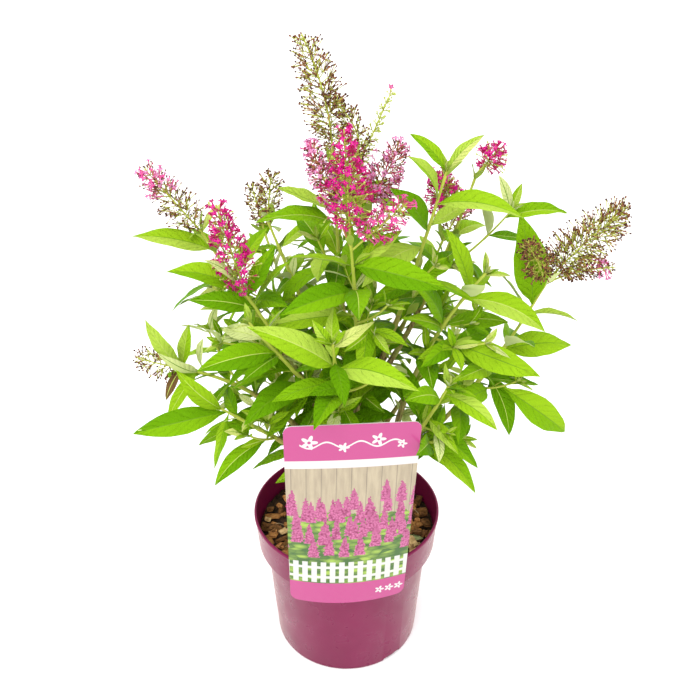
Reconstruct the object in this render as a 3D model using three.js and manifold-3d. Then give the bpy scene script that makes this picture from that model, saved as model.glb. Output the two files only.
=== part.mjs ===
// Potted butterfly bush (Buddleja): a nursery pot with its growing medium and picture label, a short
// woody base, tapering boughs, and masses of foliage whose twigs carry the leaves and flower panicles.
// Millimetres, +Z up. The origin is the middle of the pot's flat underside and the label faces -Y.
import * as THREE from 'three';
import { mergeVertices } from 'three/addons/utils/BufferGeometryUtils.js';
import Module from 'manifold-3d';

const wasm = await Module();
wasm.setup();

// ---------------------------------------------------------------- driving sizes

const GAP = 0.35; // clearance that touching pieces keep
const SHORTEST_EDGE = 0.02; // slivers finer than this are taken out of a joined mass
const LENGTH_STEPS = 12; // straight steps that measure an arc

const POT = {
  height: 157,
  rimRadius: 95.2,
  rimInner: 92.6,
  collarHeight: 37,
  collarTaper: 3.2, // how much narrower the collar is at its lower edge
  collarSlope: 2.5, // height of the slope under the collar
  lipEdge: 0.8, // rounding of the rim's two edges
  bodyTopRadius: 83.8,
  footRadius: 76.3,
  footChamfer: 1.2,
  wall: 1.7,
  floor: 5,
  facets: 32,
  notches: { count: 3, first: -51, width: 22, height: 3.6, depth: 9 },
  drains: { count: 5, radius: 5, ring: 46, facets: 8 },
};

const LEDGE = POT.height - POT.collarHeight; // the collar's lower edge

const MEDIUM = {
  surface: 136,
  crown: { radius: 62, drop: 0.8 }, // where the surface starts to fall away
  edgeDrop: 3,
  flatRadius: 16,
  chips: {
    count: 9, length: [11, 24], width: [7, 13], height: [4, 7], tilt: 14, sunk: 0.8, clearOfTrunk: 16,
    clearOfPot: 3, seed: 41,
  },
};
const GOLDEN_ANGLE = 137.5; // degrees from each chip to the next

const LABEL = {
  bottom: 119,
  height: 202,
  bottomWidth: 108,
  topWidth: 115,
  cornerRadius: 7,
  thickness: 0.9,
  front: -97.8,
  turn: 4.3, // degrees by which the card's right side stands back
  lean: [1, 6], // how far the card's middle lies to the right, at its foot and at its head
  sagitta: 10, // how far the lower corners wrap back round the pot
  columns: [-1, -0.6, -0.13, 0.13, 0.6, 1], // shares of the half width; the middle strip carries the hook
  cornerSteps: [0, 0.12, 0.45, 1], // shares of the corner radius
  rows: [0.25, 0.5, 0.75], // shares of the height
  hook: { width: 14, thickness: 1.2, drop: 17, inset: 3.4 },
};

const TRUNK = {
  foot: [3, 2, MEDIUM.surface + GAP],
  waist: [6, 1, 172],
  top: [8, -1, 214],
  footRadius: 8.5,
  topRadius: 5,
  flare: 1.45, // the foot's spread over the plain taper
  flareFade: 9, // how soon the flare dies out up the trunk
  sides: 8,
  steps: 7,
};

// Each kind of stem: its radii at foot and tip, its facets, the stretch of it that bears leaves, and how
// far its middle sags under its chord.
const STEMS = {
  bough: { radii: [3.6, 2.3], sides: 4, steps: 3 },
  main: { radii: [2.3, 1.0], sides: 3, steps: 4, bearing: [0.12, 0.985] },
  shoot: { radii: [1.35, 0.8], sides: 3, steps: 2, bearing: [0.34, 0.97], sag: 0.07 },
  twig: { radii: [0.9, 0.7], sides: 3, steps: 1, bearing: [0.5, 0.96], sag: 0.06 },
  rachis: { radii: [1.0, 0.5], sides: 3, steps: 3 },
};

const LEAF = {
  stations: [{ at: 0.32, width: 1 }, { at: 0.7, width: 0.72 }],
  smallStations: [{ at: 0.42, width: 1 }],
  small: 57, // leaves shorter than this take the plainer sections
  widthShare: 0.145, // widest half width over length
  edgeRise: 0.12, // how far the edges stand over the midrib, per half width
  keel: { depth: 1 / 42, taper: 0.35 }, // depth over length, and how much of it is lost by the tip
  bowSteps: 6,
  light: [0, -0.3, 0.8], // where a blade turns its face, beside its stem's own way
  outerLight: [0, -0.9, 0.8], // the same for the leaves that set the outline
  lowestHeading: -0.08, // a leaf leaves its stem no steeper downward than this
  rootDepth: 0.55, // how far a leaf's root reaches past the stem's centre line
  outerDroop: [12, 62], // bow of a leaf whose tip is set, in degrees, from an upright to a level one
  clearance: 0.7,
  room: [{ at: 0.16, width: 0.5 }, { at: 0.4, width: 1 }, { at: 0.7, width: 0.7 }],
};

// Leaves stand in pairs, each pair a quarter turn on. Ranges run from the youngest pair to the oldest.
const PAIRS = {
  turn: 90,
  crowding: 1.15, // above 1, the pairs crowd towards the tip
  spread: [34, 70], // degrees off the stem
  droop: [16, 52], // degrees of bow
  growth: { young: -0.12, rate: 0.96, ripe: 0.62 }, // phases of the length's sine, as shares of a half turn
  jitter: { angle: 13, spread: 7, droop: 14, twist: 14, length: 0.09 },
};

// Side twigs in the axils of the older pairs.
const TWIGS = {
  chance: 0.32,
  offset: 0.08, // how far over the pair's own place, in pairs
  jitter: 20,
  reach: [0.34, 0.5], // of the limb's leaf length
  outward: 0.72,
  onward: 0.6,
  pairs: 2,
  leafShare: 0.5,
  firstRoll: 40,
};

// Panicles: whorls of florets on the fresh and fading ones, pairs of small dry cymes on the spent ones.
const PANICLE = {
  bareFoot: 0.16,
  swell: { foot: 0.45, rate: 3.2, fall: 1.7, blunt: 0.62 },
  whorls: { sides: 6, spacing: 10, least: 3, gap: 0.72 },
  cymes: {
    spacing: 13, least: 3, turn: 35, reach: [0.86, 1.08], outward: 0.86, onward: 0.5, last: 0.98, crop: 0.96,
    belly: 0.62, girth: { share: 0.42, most: 4.4 }, onBare: 6,
  },
  turning: { at: 0.5, from: 0.3 }, // where a turning panicle changes from dry cymes to florets
};

// Where a leaf would touch something it is turned, lifted or shortened by one of these steps,
// and left out when none of them fits.
const LEAF_CHOICES = [
  { turn: 0, lift: 0, size: 1 },
  { turn: 16, lift: 6, size: 1 },
  { turn: -16, lift: 6, size: 1 },
  { turn: 0, lift: 20, size: 0.96 },
  { turn: 26, lift: -12, size: 0.92 },
  { turn: -26, lift: -12, size: 0.92 },
  { turn: 0, lift: -22, size: 0.88 },
  { turn: 32, lift: 16, size: 0.82 },
  { turn: -32, lift: 16, size: 0.82 },
  { turn: 12, lift: 30, size: 0.72 },
  { turn: -12, lift: -30, size: 0.66 },
];

// Each limb is one arc from its foot through its elbow to its tip: a bare bough up to the elbow, and
// beyond it the main stem of a mass of foliage. `from` and `at` say which limb carries it and how far up.
// On a mass, `at` is a place along the main stem or the shoot, 1 being its tip. `outer` holds the leaves
// that set the crown's outline, each with its place on the stem and its tip; the rest follow the rule.
const LIMBS = [
  {
    name: 'centre', from: 'trunk', at: 0.98, elbow: [10, -25, 345], tip: [4, -45, 459],
    leaf: 80, pairs: 5, roll: 98,
    outer: [[0.8, 81, -70, 429], [0.57, -52, -75, 409]],
    shoots: [{ at: 0.3, to: [34, -62, 412], leaf: 58, pairs: 2, roll: 70 }],
    panicles: [
      { kind: 'fresh', at: 1, to: [-1, -36, 547], width: 60 },
      { kind: 'fresh', at: 0.93, to: [48, -52, 494], width: 31, bare: 0.3 },
      { kind: 'faded', at: 0.95, to: [-27, -22, 530], width: 24, bare: 0.42 },
    ],
  },
  {
    name: 'tall', from: 'trunk', at: 0.93, elbow: [-2, 16, 352], tip: [-11, 15, 506],
    leaf: 74, pairs: 4, roll: 20,
    outer: [[0.66, -75, -20, 467]],
    shoots: [{ at: 0.34, to: [-24, -2, 446], leaf: 66, pairs: 3, roll: 15 }],
    panicles: [
      { kind: 'spent', at: 1, via: [-16, 12, 557], to: [-34, 10, 609], width: 42 },
      { kind: 'spent', at: 0.9, via: [11, 12, 524], to: [-13, 10, 562], width: 24, bare: 0.35 },
      { kind: 'faded', at: 0.72, via: [24, 26, 480], to: [45, 32, 519], width: 36, bare: 0.4 },
      { kind: 'bare', at: 0.8, via: [18, 26, 500], to: [37, 30, 561], width: 12, bare: 0.3 },
    ],
  },
  {
    name: 'tall_right', from: 'tall', at: 0.34, elbow: [40, 2, 348], tip: [84, 5, 504],
    leaf: 72, pairs: 4, roll: 50,
    outer: [
      [0.99, 51, -5, 536], [0.99, 112, 0, 534], [0.86, 48, -25, 523], [0.84, 146, -20, 471],
      [0.7, 44, -30, 513], [0.62, 13, -45, 420],
    ],
    shoots: [{ at: 0.4, to: [74, -26, 432], leaf: 60, pairs: 2, roll: 40 }],
    panicles: [],
  },
  {
    name: 'right_back', from: 'tall_right', at: 0.36, elbow: [70, 40, 360], tip: [116, 50, 488],
    leaf: 64, pairs: 5, roll: 50,
    outer: [],
    shoots: [{
      at: 0.32, to: [150, 44, 458], leaf: 56, pairs: 3, roll: 96,
      outer: [[0.97, 133, 35, 492], [0.9, 201, 45, 454], [0.97, 158, 52, 480]],
    }],
    panicles: [
      { kind: 'fresh', at: 1, to: [133, 55, 506], width: 27, bare: 0.12 },
      { kind: 'fresh', at: 0.74, to: [91, 50, 494], width: 31, bare: 0.3 },
    ],
  },
  {
    name: 'right_middle', from: 'right', at: 0.42, elbow: [66, -18, 330], tip: [120, -16, 421],
    leaf: 72, pairs: 4, roll: 78,
    outer: [[0.8, 81, -30, 466], [0.72, 172, -35, 374], [0.44, 49, -42, 430], [0.4, 45, -58, 398]],
    shoots: [{
      at: 0.3, to: [118, -52, 372], leaf: 58, pairs: 2, roll: 0,
      outer: [[0.4, 166, -60, 344]],
    }],
    panicles: [],
  },
  {
    name: 'right', from: 'trunk', at: 0.74, elbow: [92, -26, 280], tip: [178, 0, 408],
    leaf: 72, pairs: 5, roll: 88,
    outer: [[0.85, 143, -15, 475], [0.56, 203, -15, 351], [0.45, 90, -65, 342], [0.4, 150, -40, 270]],
    shoots: [{
      at: 0.28, to: [150, -44, 330], leaf: 60, pairs: 2, roll: 15,
      outer: [[0.66, 207, -22, 262]],
    }],
    panicles: [
      { kind: 'spent', at: 1, via: [204, 0, 443], to: [234, 0, 470], width: 46, bare: 0.1 },
      { kind: 'spent', at: 0.96, via: [162, -10, 430], to: [148, -15, 455], width: 22, bare: 0.3 },
      { kind: 'turning', at: 0.98, via: [206, 6, 413], to: [240, 10, 418], width: 26, bare: 0.3 },
    ],
  },
  {
    name: 'lower_right', from: 'right', at: 0.3, elbow: [56, -46, 262], tip: [86, -76, 345],
    leaf: 66, pairs: 4, roll: 30,
    outer: [[0.9, 126, -95, 313], [0.82, 47, -105, 348], [0.55, 96, -90, 285]],
    shoots: [{
      at: 0.16, to: [100, -66, 284], leaf: 60, pairs: 2, roll: 60,
      outer: [[0.25, 117, -75, 231]],
    }],
    panicles: [],
  },
  {
    name: 'front', from: 'trunk', at: 0.82, elbow: [-4, -46, 300], tip: [-10, -90, 392],
    leaf: 66, pairs: 4, roll: 100,
    outer: [
      [0.94, 23, -90, 411], [0.94, -26, -85, 410], [0.65, -75, -105, 414], [0.62, 57, -120, 366],
      [0.28, -25, -125, 333],
    ],
    shoots: [{ at: 0.3, to: [24, -84, 356], leaf: 54, pairs: 2, roll: 30 }],
    panicles: [],
  },
  {
    name: 'lower_left', from: 'trunk', at: 0.7, elbow: [-52, -44, 262], tip: [-112, -52, 308],
    leaf: 68, pairs: 4, roll: 84,
    outer: [[0.95, -144, -60, 351], [0.88, -186, -70, 292], [0.86, -117, -75, 258]],
    shoots: [{ at: 0.2, to: [-84, -80, 298], leaf: 60, pairs: 2, roll: 55 }],
    panicles: [],
  },
  {
    name: 'far_left', from: 'lower_left', at: 0.42, elbow: [-76, -12, 290], tip: [-152, -20, 330],
    leaf: 52, pairs: 4, roll: 6,
    outer: [[0.96, -173, -30, 384], [0.96, -140, -10, 370], [0.8, -161, -45, 290]],
    shoots: [{ at: 0.3, to: [-128, 12, 352], leaf: 58, pairs: 3, roll: 50 }],
    panicles: [{ kind: 'spent', at: 1, to: [-187, -22, 341], width: 34, bare: 0.06 }],
  },
  {
    name: 'left', from: 'trunk', at: 0.88, elbow: [-64, 20, 330], tip: [-131, 30, 444],
    leaf: 68, pairs: 5, roll: 30,
    outer: [[0.97, -104, 25, 472], [0.82, -190, 20, 441]],
    shoots: [{ at: 0.25, to: [-128, 50, 380], leaf: 62, pairs: 3, roll: 10 }],
    panicles: [{ kind: 'turning', at: 1, to: [-171, 26, 501], width: 38, bare: 0.04 }],
  },
  {
    name: 'left_front', from: 'left', at: 0.5, elbow: [-50, -14, 335], tip: [-94, -24, 418],
    leaf: 63, pairs: 4, roll: 14,
    outer: [[0.88, -153, -22, 424], [0.82, -58, -18, 447], [0.68, -131, -42, 407]],
    shoots: [{ at: 0.3, to: [-106, -46, 370], leaf: 58, pairs: 2, roll: 70 }],
    panicles: [{ kind: 'fresh', at: 1, to: [-101, -30, 487], width: 38 }],
  },
  {
    name: 'left_back', from: 'tall', at: 0.46, elbow: [-34, 34, 352], tip: [-72, 50, 446],
    leaf: 64, pairs: 4, roll: 0,
    outer: [],
    shoots: [],
    panicles: [{ kind: 'spent', at: 1, to: [-73, 50, 491], width: 28, bare: 0.1 }],
  },
  {
    name: 'left_middle', from: 'centre', at: 0.32, elbow: [-28, -32, 312], tip: [-81, -52, 392],
    leaf: 64, pairs: 5, roll: 74,
    outer: [[0.62, -123, -75, 358], [0.12, -86, -85, 311]],
    shoots: [],
    panicles: [],
  },
  {
    name: 'back', from: 'trunk', at: 0.96, elbow: [8, 56, 332], tip: [14, 96, 446],
    leaf: 76, pairs: 5, roll: 10,
    outer: [],
    shoots: [{ at: 0.35, to: [-18, 118, 404], leaf: 60, pairs: 3, roll: 60 }],
    panicles: [
      { kind: 'fresh', at: 1, to: [9, 114, 498], width: 40 },
      { kind: 'spent', at: 0.94, to: [-16, 112, 494], width: 22, bare: 0.35 },
    ],
  },
  {
    name: 'back_right', from: 'back', at: 0.44, elbow: [50, 66, 316], tip: [98, 108, 408],
    leaf: 74, pairs: 5, roll: 40,
    outer: [],
    shoots: [{ at: 0.3, to: [120, 82, 366], leaf: 62, pairs: 2, roll: 0 }],
    panicles: [{ kind: 'turning', at: 1, to: [124, 126, 462], width: 32 }],
  },
  {
    name: 'back_left', from: 'back', at: 0.4, elbow: [-40, 66, 318], tip: [-82, 108, 414],
    leaf: 74, pairs: 5, roll: 60,
    outer: [],
    shoots: [{ at: 0.3, to: [-112, 84, 370], leaf: 62, pairs: 2, roll: 20 }],
    panicles: [{ kind: 'spent', at: 1, to: [-94, 124, 456], width: 26 }],
  },
  {
    name: 'lower_back_right', from: 'trunk', at: 0.66, elbow: [58, 46, 256], tip: [128, 86, 316],
    leaf: 72, pairs: 5, roll: 84,
    outer: [],
    shoots: [{ at: 0.25, to: [92, 122, 306], leaf: 62, pairs: 2, roll: 20 }],
    panicles: [],
  },
  {
    name: 'lower_back_left', from: 'trunk', at: 0.62, elbow: [-50, 48, 254], tip: [-116, 84, 312],
    leaf: 72, pairs: 5, roll: 80,
    outer: [],
    shoots: [{ at: 0.25, to: [-86, 122, 306], leaf: 62, pairs: 2, roll: 50 }],
    panicles: [],
  },
  {
    name: 'lower_back', from: 'trunk', at: 0.78, elbow: [6, 66, 270], tip: [6, 134, 344],
    leaf: 72, pairs: 5, roll: 5,
    outer: [],
    shoots: [{ at: 0.22, to: [36, 130, 300], leaf: 62, pairs: 2, roll: 60 }],
    panicles: [],
  },
];

// Seeds of the random draws: from mass to mass, from stem to stem, and where twigs and panicles start.
const SEED_STEPS = { masses: 1000, leaves: 31, twigs: 500, panicles: 900 };

const COLOURS = {
  pot: 0x96466a,
  medium: 0x3d2616,
  label: 0xe05fae,
  bark: 0x8a6238,
  youngBark: 0x9c8440,
  foliage: [0x5f9a1c, 0x4f8a1a, 0x73ab26, 0x86b530],
};

// ---------------------------------------------------------------- small helpers

const radians = THREE.MathUtils.degToRad;
const lerp = THREE.MathUtils.lerp;
const vector = (xyz) => new THREE.Vector3(...xyz);

/** Numbers from 0 to 1 that are the same for the same seed (mulberry32). */
function seededRandom(seed) {
  let state = seed >>> 0;
  return () => {
    state = (state + 0x6d2b79f5) >>> 0;
    let mixed = Math.imul(state ^ (state >>> 15), state | 1);
    mixed ^= mixed + Math.imul(mixed ^ (mixed >>> 7), mixed | 61);
    return ((mixed ^ (mixed >>> 14)) >>> 0) / 4294967296;
  };
}

/** A closed three.js geometry as a solid that can be joined and cut. */
function solidOf(geometry) {
  geometry.deleteAttribute('normal');
  geometry.deleteAttribute('uv');
  const merged = mergeVertices(geometry, 1e-4);
  const corners = merged.index.array;
  const kept = [];
  for (let i = 0; i < corners.length; i += 3) {
    const [a, b, c] = [corners[i], corners[i + 1], corners[i + 2]];
    if (a !== b && b !== c && c !== a) kept.push(a, b, c);
  }
  const vertProperties = new Float32Array(merged.attributes.position.array);
  return new wasm.Manifold(new wasm.Mesh({ numProp: 3, vertProperties, triVerts: new Uint32Array(kept) }));
}

/** A joined or cut solid back as a geometry. */
function geometryOf(solid) {
  const mesh = solid.getMesh();
  const geometry = new THREE.BufferGeometry();
  geometry.setAttribute('position', new THREE.BufferAttribute(mesh.vertProperties, 3));
  geometry.setIndex(new THREE.BufferAttribute(mesh.triVerts, 1));
  geometry.computeVertexNormals();
  return geometry;
}

const largestPiece = (solid) => solid.decompose().sort((a, b) => b.volume() - a.volume())[0];

/**
 * A closed skin over rings of points, each ring running anticlockwise about the way the rings go.
 * A ring of a single point draws that end to a tip; any other end gets a flat cap.
 */
function skin(rings) {
  const points = rings.flat();
  const faces = [];
  let base = 0;
  for (let k = 0; k + 1 < rings.length; k += 1) {
    const here = rings[k].length;
    const next = rings[k + 1].length;
    const sides = Math.max(here, next);
    for (let i = 0; i < sides; i += 1) {
      const j = (i + 1) % sides;
      const [a, b] = [base + (i % here), base + (j % here)];
      const [c, d] = [base + here + (i % next), base + here + (j % next)];
      if (a !== b) faces.push(a, b, d);
      if (c !== d) faces.push(a, d, c);
    }
    base += here;
  }
  for (let i = 1; i + 1 < rings[0].length; i += 1) faces.push(0, i + 1, i);
  for (let i = 1; i + 1 < rings.at(-1).length; i += 1) faces.push(base, base + i, base + i + 1);
  const geometry = new THREE.BufferGeometry().setFromPoints(points);
  geometry.setIndex(faces);
  return geometry;
}

/** A closed card: rows of points on its face, each row running to the right, and the way to its back. */
function slab(rows, back) {
  const wide = rows[0].length;
  const front = rows.flat();
  const points = [...front, ...front.map((point) => point.clone().add(back))];
  const at = (row, column) => row * wide + column;
  const faces = [];
  const addQuad = (a, b, c, d) => faces.push(a, b, c, a, c, d);
  for (let row = 0; row + 1 < rows.length; row += 1) {
    for (let column = 0; column + 1 < wide; column += 1) {
      const [a, b] = [at(row, column), at(row, column + 1)];
      const [c, d] = [at(row + 1, column + 1), at(row + 1, column)];
      addQuad(a, b, c, d);
      faces.push(...[a, c, b, a, d, c].map((corner) => corner + front.length));
    }
  }
  const rim = [
    ...rows[0].map((_, column) => at(0, column)).slice(0, -1),
    ...rows.map((_, row) => at(row, wide - 1)).slice(0, -1),
    ...rows[0].map((_, column) => at(rows.length - 1, column)).slice(1).reverse(),
    ...rows.map((_, row) => at(row, 0)).slice(1).reverse(),
  ];
  rim.forEach((here, i) => {
    const next = rim[(i + 1) % rim.length];
    addQuad(here, here + front.length, next + front.length, next);
  });
  const geometry = new THREE.BufferGeometry().setFromPoints(points);
  geometry.setIndex(faces);
  return geometry;
}

/** A profile of [radius, height] points turned round the Z axis. */
function turned(profile, facets) {
  const points = profile.map(([radius, height]) => new THREE.Vector2(radius, height));
  return new THREE.LatheGeometry(points, facets).rotateX(Math.PI / 2);
}

/** The centre line of a limb: the parabola through its start, middle and end. */
class Arc {
  constructor(start, middle, end) {
    this.start = start;
    this.end = end;
    this.control = middle.clone().multiplyScalar(2).addScaledVector(start, -0.5).addScaledVector(end, -0.5);
    const chord = end.clone().sub(start).normalize();
    this.reference = Math.abs(chord.x) < 0.8 ? new THREE.Vector3(1, 0, 0) : new THREE.Vector3(0, 0, 1);
  }

  point(t) {
    const u = 1 - t;
    return this.start.clone().multiplyScalar(u * u)
      .addScaledVector(this.control, 2 * u * t).addScaledVector(this.end, t * t);
  }

  tangent(t) {
    return this.control.clone().sub(this.start).multiplyScalar(1 - t)
      .add(this.end.clone().sub(this.control).multiplyScalar(t)).normalize();
  }

  /** The direction square to the arc at t that lies at an angle, in degrees, from its reference. */
  across(t, angle) {
    const tangent = this.tangent(t);
    const zero = this.reference.clone().addScaledVector(tangent, -this.reference.dot(tangent)).normalize();
    const quarter = tangent.clone().cross(zero);
    return zero.multiplyScalar(Math.cos(radians(angle))).addScaledVector(quarter, Math.sin(radians(angle)));
  }

  length() {
    const steps = LENGTH_STEPS;
    let sum = 0;
    for (let i = 0; i < steps; i += 1) sum += this.point(i / steps).distanceTo(this.point((i + 1) / steps));
    return sum;
  }
}

/** A closed limb along the part of an arc from t0 to t1, radiusAt giving its radius from 0 to 1. */
function limbAlong(arc, t0, t1, radiusAt, sides, steps) {
  const rings = [];
  for (let k = 0; k <= steps; k += 1) {
    const t = lerp(t0, t1, k / steps);
    const radius = radiusAt(k / steps);
    const ring = [];
    for (let i = 0; i < (radius > 0 ? sides : 1); i += 1) {
      ring.push(arc.point(t).addScaledVector(arc.across(t, (360 * i) / sides), radius));
    }
    rings.push(ring);
  }
  return skin(rings);
}

// ---------------------------------------------------------------- pot, growing medium and label

function makePot() {
  const { height, wall, floor, facets, notches, drains, collarTaper, lipEdge } = POT;
  const profile = [
    [0, 0],
    [POT.footRadius - POT.footChamfer, 0],
    [POT.footRadius, POT.footChamfer],
    [POT.bodyTopRadius, LEDGE - POT.collarSlope],
    [POT.rimRadius - collarTaper, LEDGE],
    [POT.rimRadius, height - lipEdge],
    [POT.rimRadius - lipEdge, height],
    [POT.rimInner + lipEdge / 2, height],
    [POT.rimInner, height - lipEdge],
    [POT.rimInner - collarTaper, LEDGE + 1],
    [POT.bodyTopRadius - wall, LEDGE + 1 - POT.collarSlope],
    [POT.footRadius - wall, floor],
    [0, floor],
  ];
  let pot = solidOf(turned(profile, facets));
  for (let i = 0; i < notches.count; i += 1) {
    const notch = new THREE.BoxGeometry(notches.depth * 2, notches.width, notches.height * 2)
      .translate(POT.footRadius + 1, 0, 0)
      .rotateZ(radians(notches.first + (i * 360) / notches.count));
    pot = pot.subtract(solidOf(notch));
  }
  for (let i = 0; i < drains.count; i += 1) {
    const drain = new THREE.CylinderGeometry(drains.radius, drains.radius, floor * 3, drains.facets)
      .rotateX(Math.PI / 2)
      .translate(drains.ring, 0, 0)
      .rotateZ(radians((i * 360) / drains.count));
    pot = pot.subtract(solidOf(drain));
  }
  return pot;
}

/** The radius of the growing medium inside the tapering collar. */
function mediumRadius(level) {
  const share = (level - LEDGE - 1) / (POT.collarHeight - 1 - POT.lipEdge);
  return POT.rimInner - POT.collarTaper * (1 - share) - GAP;
}

function makeMedium() {
  const { surface, crown, edgeDrop, flatRadius, chips } = MEDIUM;
  const edge = mediumRadius(surface - edgeDrop);
  const shrink = POT.wall + GAP * 1.2; // the pot's wall slopes, so the gap is a little wider across
  const profile = [
    [0, POT.floor + GAP],
    [POT.footRadius - shrink, POT.floor + GAP],
    [POT.bodyTopRadius - shrink, LEDGE + 1 - POT.collarSlope],
    [mediumRadius(LEDGE + 1), LEDGE + 1 + GAP],
    [edge, surface - edgeDrop],
    [crown.radius, surface - crown.drop],
    [flatRadius, surface],
    [0, surface],
  ];
  let medium = solidOf(turned(profile, POT.facets));
  const random = seededRandom(chips.seed);
  for (let i = 0; i < chips.count; i += 1) {
    const length = lerp(...chips.length, random());
    const [width, height] = [lerp(...chips.width, random()), lerp(...chips.height, random())];
    const chip = new THREE.BoxGeometry(length, width, height)
      .rotateY(radians(lerp(-chips.tilt, chips.tilt, random())))
      .rotateZ(radians(360 * random()));
    const outermost = edge - length * 0.62 - chips.clearOfPot; // a chip turned outwards still clears the pot
    const ring = lerp(flatRadius + chips.clearOfTrunk, outermost, Math.sqrt(random()));
    const angle = radians(i * GOLDEN_ANGLE);
    chip.translate(ring * Math.cos(angle), ring * Math.sin(angle), surface - chips.sunk);
    medium = medium.add(solidOf(chip));
  }
  return medium;
}

/** One row of the card's face: narrower at the rounded corners, and wrapped back towards the foot. */
function labelRow(level) {
  const { height, cornerRadius, bottomWidth, topWidth } = LABEL;
  const share = level / height;
  const toEdge = Math.max(0, cornerRadius - Math.min(level, height - level));
  const rounding = cornerRadius - Math.sqrt(cornerRadius ** 2 - toEdge ** 2);
  const halfWidth = lerp(bottomWidth, topWidth, share) / 2 - rounding;
  const middle = lerp(...LABEL.lean, share);
  return LABEL.columns.map((column) => {
    const x = column * halfWidth;
    const wrap = LABEL.sagitta * (1 - share) * (x / (bottomWidth / 2)) ** 2;
    const back = wrap + x * Math.tan(radians(LABEL.turn));
    return new THREE.Vector3(x + middle, LABEL.front + back, LABEL.bottom + level);
  });
}

function makeLabel() {
  const { height, cornerRadius, thickness, hook } = LABEL;
  const corner = LABEL.cornerSteps.map((share) => share * cornerRadius);
  const middle = LABEL.rows.map((share) => share * height);
  const levels = [...corner, ...middle, ...corner.map((rise) => height - rise).reverse()];
  const card = slab(levels.map(labelRow), new THREE.Vector3(0, thickness, 0));
  const under = POT.height + GAP;
  const inside = hook.inset - POT.rimInner;
  const outline = new THREE.Shape([
    new THREE.Vector2(LABEL.front + thickness * 0.5, under + hook.thickness),
    new THREE.Vector2(LABEL.front + thickness * 0.5, under),
    new THREE.Vector2(inside, under),
    new THREE.Vector2(inside, under - hook.drop),
    new THREE.Vector2(inside + hook.thickness, under - hook.drop),
    new THREE.Vector2(inside + hook.thickness, under + hook.thickness),
  ]);
  const strap = new THREE.ExtrudeGeometry(outline, { depth: hook.width, bevelEnabled: false })
    .translate(-LABEL.front, 0, -hook.width / 2)
    .rotateX(Math.PI / 2)
    .rotateZ(Math.PI / 2 + radians(LABEL.turn))
    .translate(lerp(...LABEL.lean, (under - LABEL.bottom) / height), LABEL.front, 0);
  return solidOf(card).add(solidOf(strap));
}

// ---------------------------------------------------------------- trunk and boughs

const trunkArc = new Arc(vector(TRUNK.foot), vector(TRUNK.waist), vector(TRUNK.top));

function trunkRadius(share) {
  const flare = 1 + (TRUNK.flare - 1) * Math.exp(-share * TRUNK.flareFade);
  return lerp(TRUNK.footRadius, TRUNK.topRadius, share) * flare;
}

function makeTrunk(extra) {
  const radiusAt = (share) => trunkRadius(share) + extra;
  const trunk = solidOf(limbAlong(trunkArc, 0, 1, radiusAt, TRUNK.sides, TRUNK.steps));
  const block = 90; // well past the tilted end of the trunk's foot
  const ground = new THREE.BoxGeometry(block, block, block).translate(0, 0, TRUNK.foot[2] - block / 2);
  return trunk.subtract(solidOf(ground));
}

const carriers = new Map([['trunk', (at) => trunkArc.point(at)]]);

/** A closed stem of one of the kinds in STEMS. */
function stemAlong(arc, t0, t1, kind, extra = 0) {
  const radiusAt = (share) => lerp(...kind.radii, share) + extra;
  return limbAlong(arc, t0, t1, radiusAt, kind.sides, kind.steps);
}

/** A limb's arc from the trunk or bough that carries it, through its elbow, to its tip. */
function arcOf(limb) {
  return new Arc(carriers.get(limb.from)(limb.at), vector(limb.elbow), vector(limb.tip));
}

/** A bough from its carrier to the elbow, half way along the arc, or that bough with extra girth. */
function makeBough(arc, extra) {
  const end = 0.5 - (GAP / 2 - extra) / arc.length();
  return solidOf(stemAlong(arc, 0, end, STEMS.bough, extra));
}

// ---------------------------------------------------------------- leaves

/** One leaf as an arching blade with a keel, its root sunk past the stem's centre line. */
function bladeOf(leaf) {
  const widest = leaf.length * LEAF.widthShare;
  const stations = leaf.length < LEAF.small ? LEAF.smallStations : LEAF.stations;
  const rings = stations.map(({ at, width }) => leafRing(leaf, at, width * widest, 0));
  return skin([[leaf.sunkRoot], ...rings, [leaf.pointAt(1).point]]);
}

/** The room a leaf needs: its blade from the end of its stalk on, thicker all round. */
function roomOf(leaf) {
  const widest = leaf.length * LEAF.widthShare;
  const rings = LEAF.room.map(({ at, width }) => leafRing(leaf, at, width * widest, LEAF.clearance));
  return skin([...rings, [leaf.pointAt(1).point]]);
}

/** Right edge, keel and left edge of a leaf's cross section. */
function leafRing(leaf, at, half, extra) {
  const { point, up } = leaf.pointAt(at);
  const rise = LEAF.edgeRise * half + extra;
  const keel = leaf.length * LEAF.keel.depth * (1 - LEAF.keel.taper * at) + extra;
  return [
    point.clone().addScaledVector(leaf.side, half + extra).addScaledVector(up, rise),
    point.clone().addScaledVector(up, -keel),
    point.clone().addScaledVector(leaf.side, -half - extra).addScaledVector(up, rise),
  ];
}

/** The way a leaf turns its face: between its stem's own way and the light. */
const facingOf = (stem, light) => stem.clone().add(vector(light)).normalize();

/** A leaf's place: it leaves the stem at a spread angle and bows towards the ground along its length. */
function leafAt(arc, t, angle, spread, droop, twist, length) {
  const stem = arc.tangent(t);
  const root = arc.point(t);
  const heading = stem.clone().multiplyScalar(Math.cos(radians(spread)))
    .addScaledVector(arc.across(t, angle), Math.sin(radians(spread)));
  heading.z = Math.max(heading.z, LEAF.lowestHeading);
  heading.normalize();
  const facing = facingOf(stem, LEAF.light);
  const side = heading.clone().cross(facing).normalize().applyAxisAngle(heading, radians(twist));
  return bladePath(root, heading, side, droop, length);
}

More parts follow.
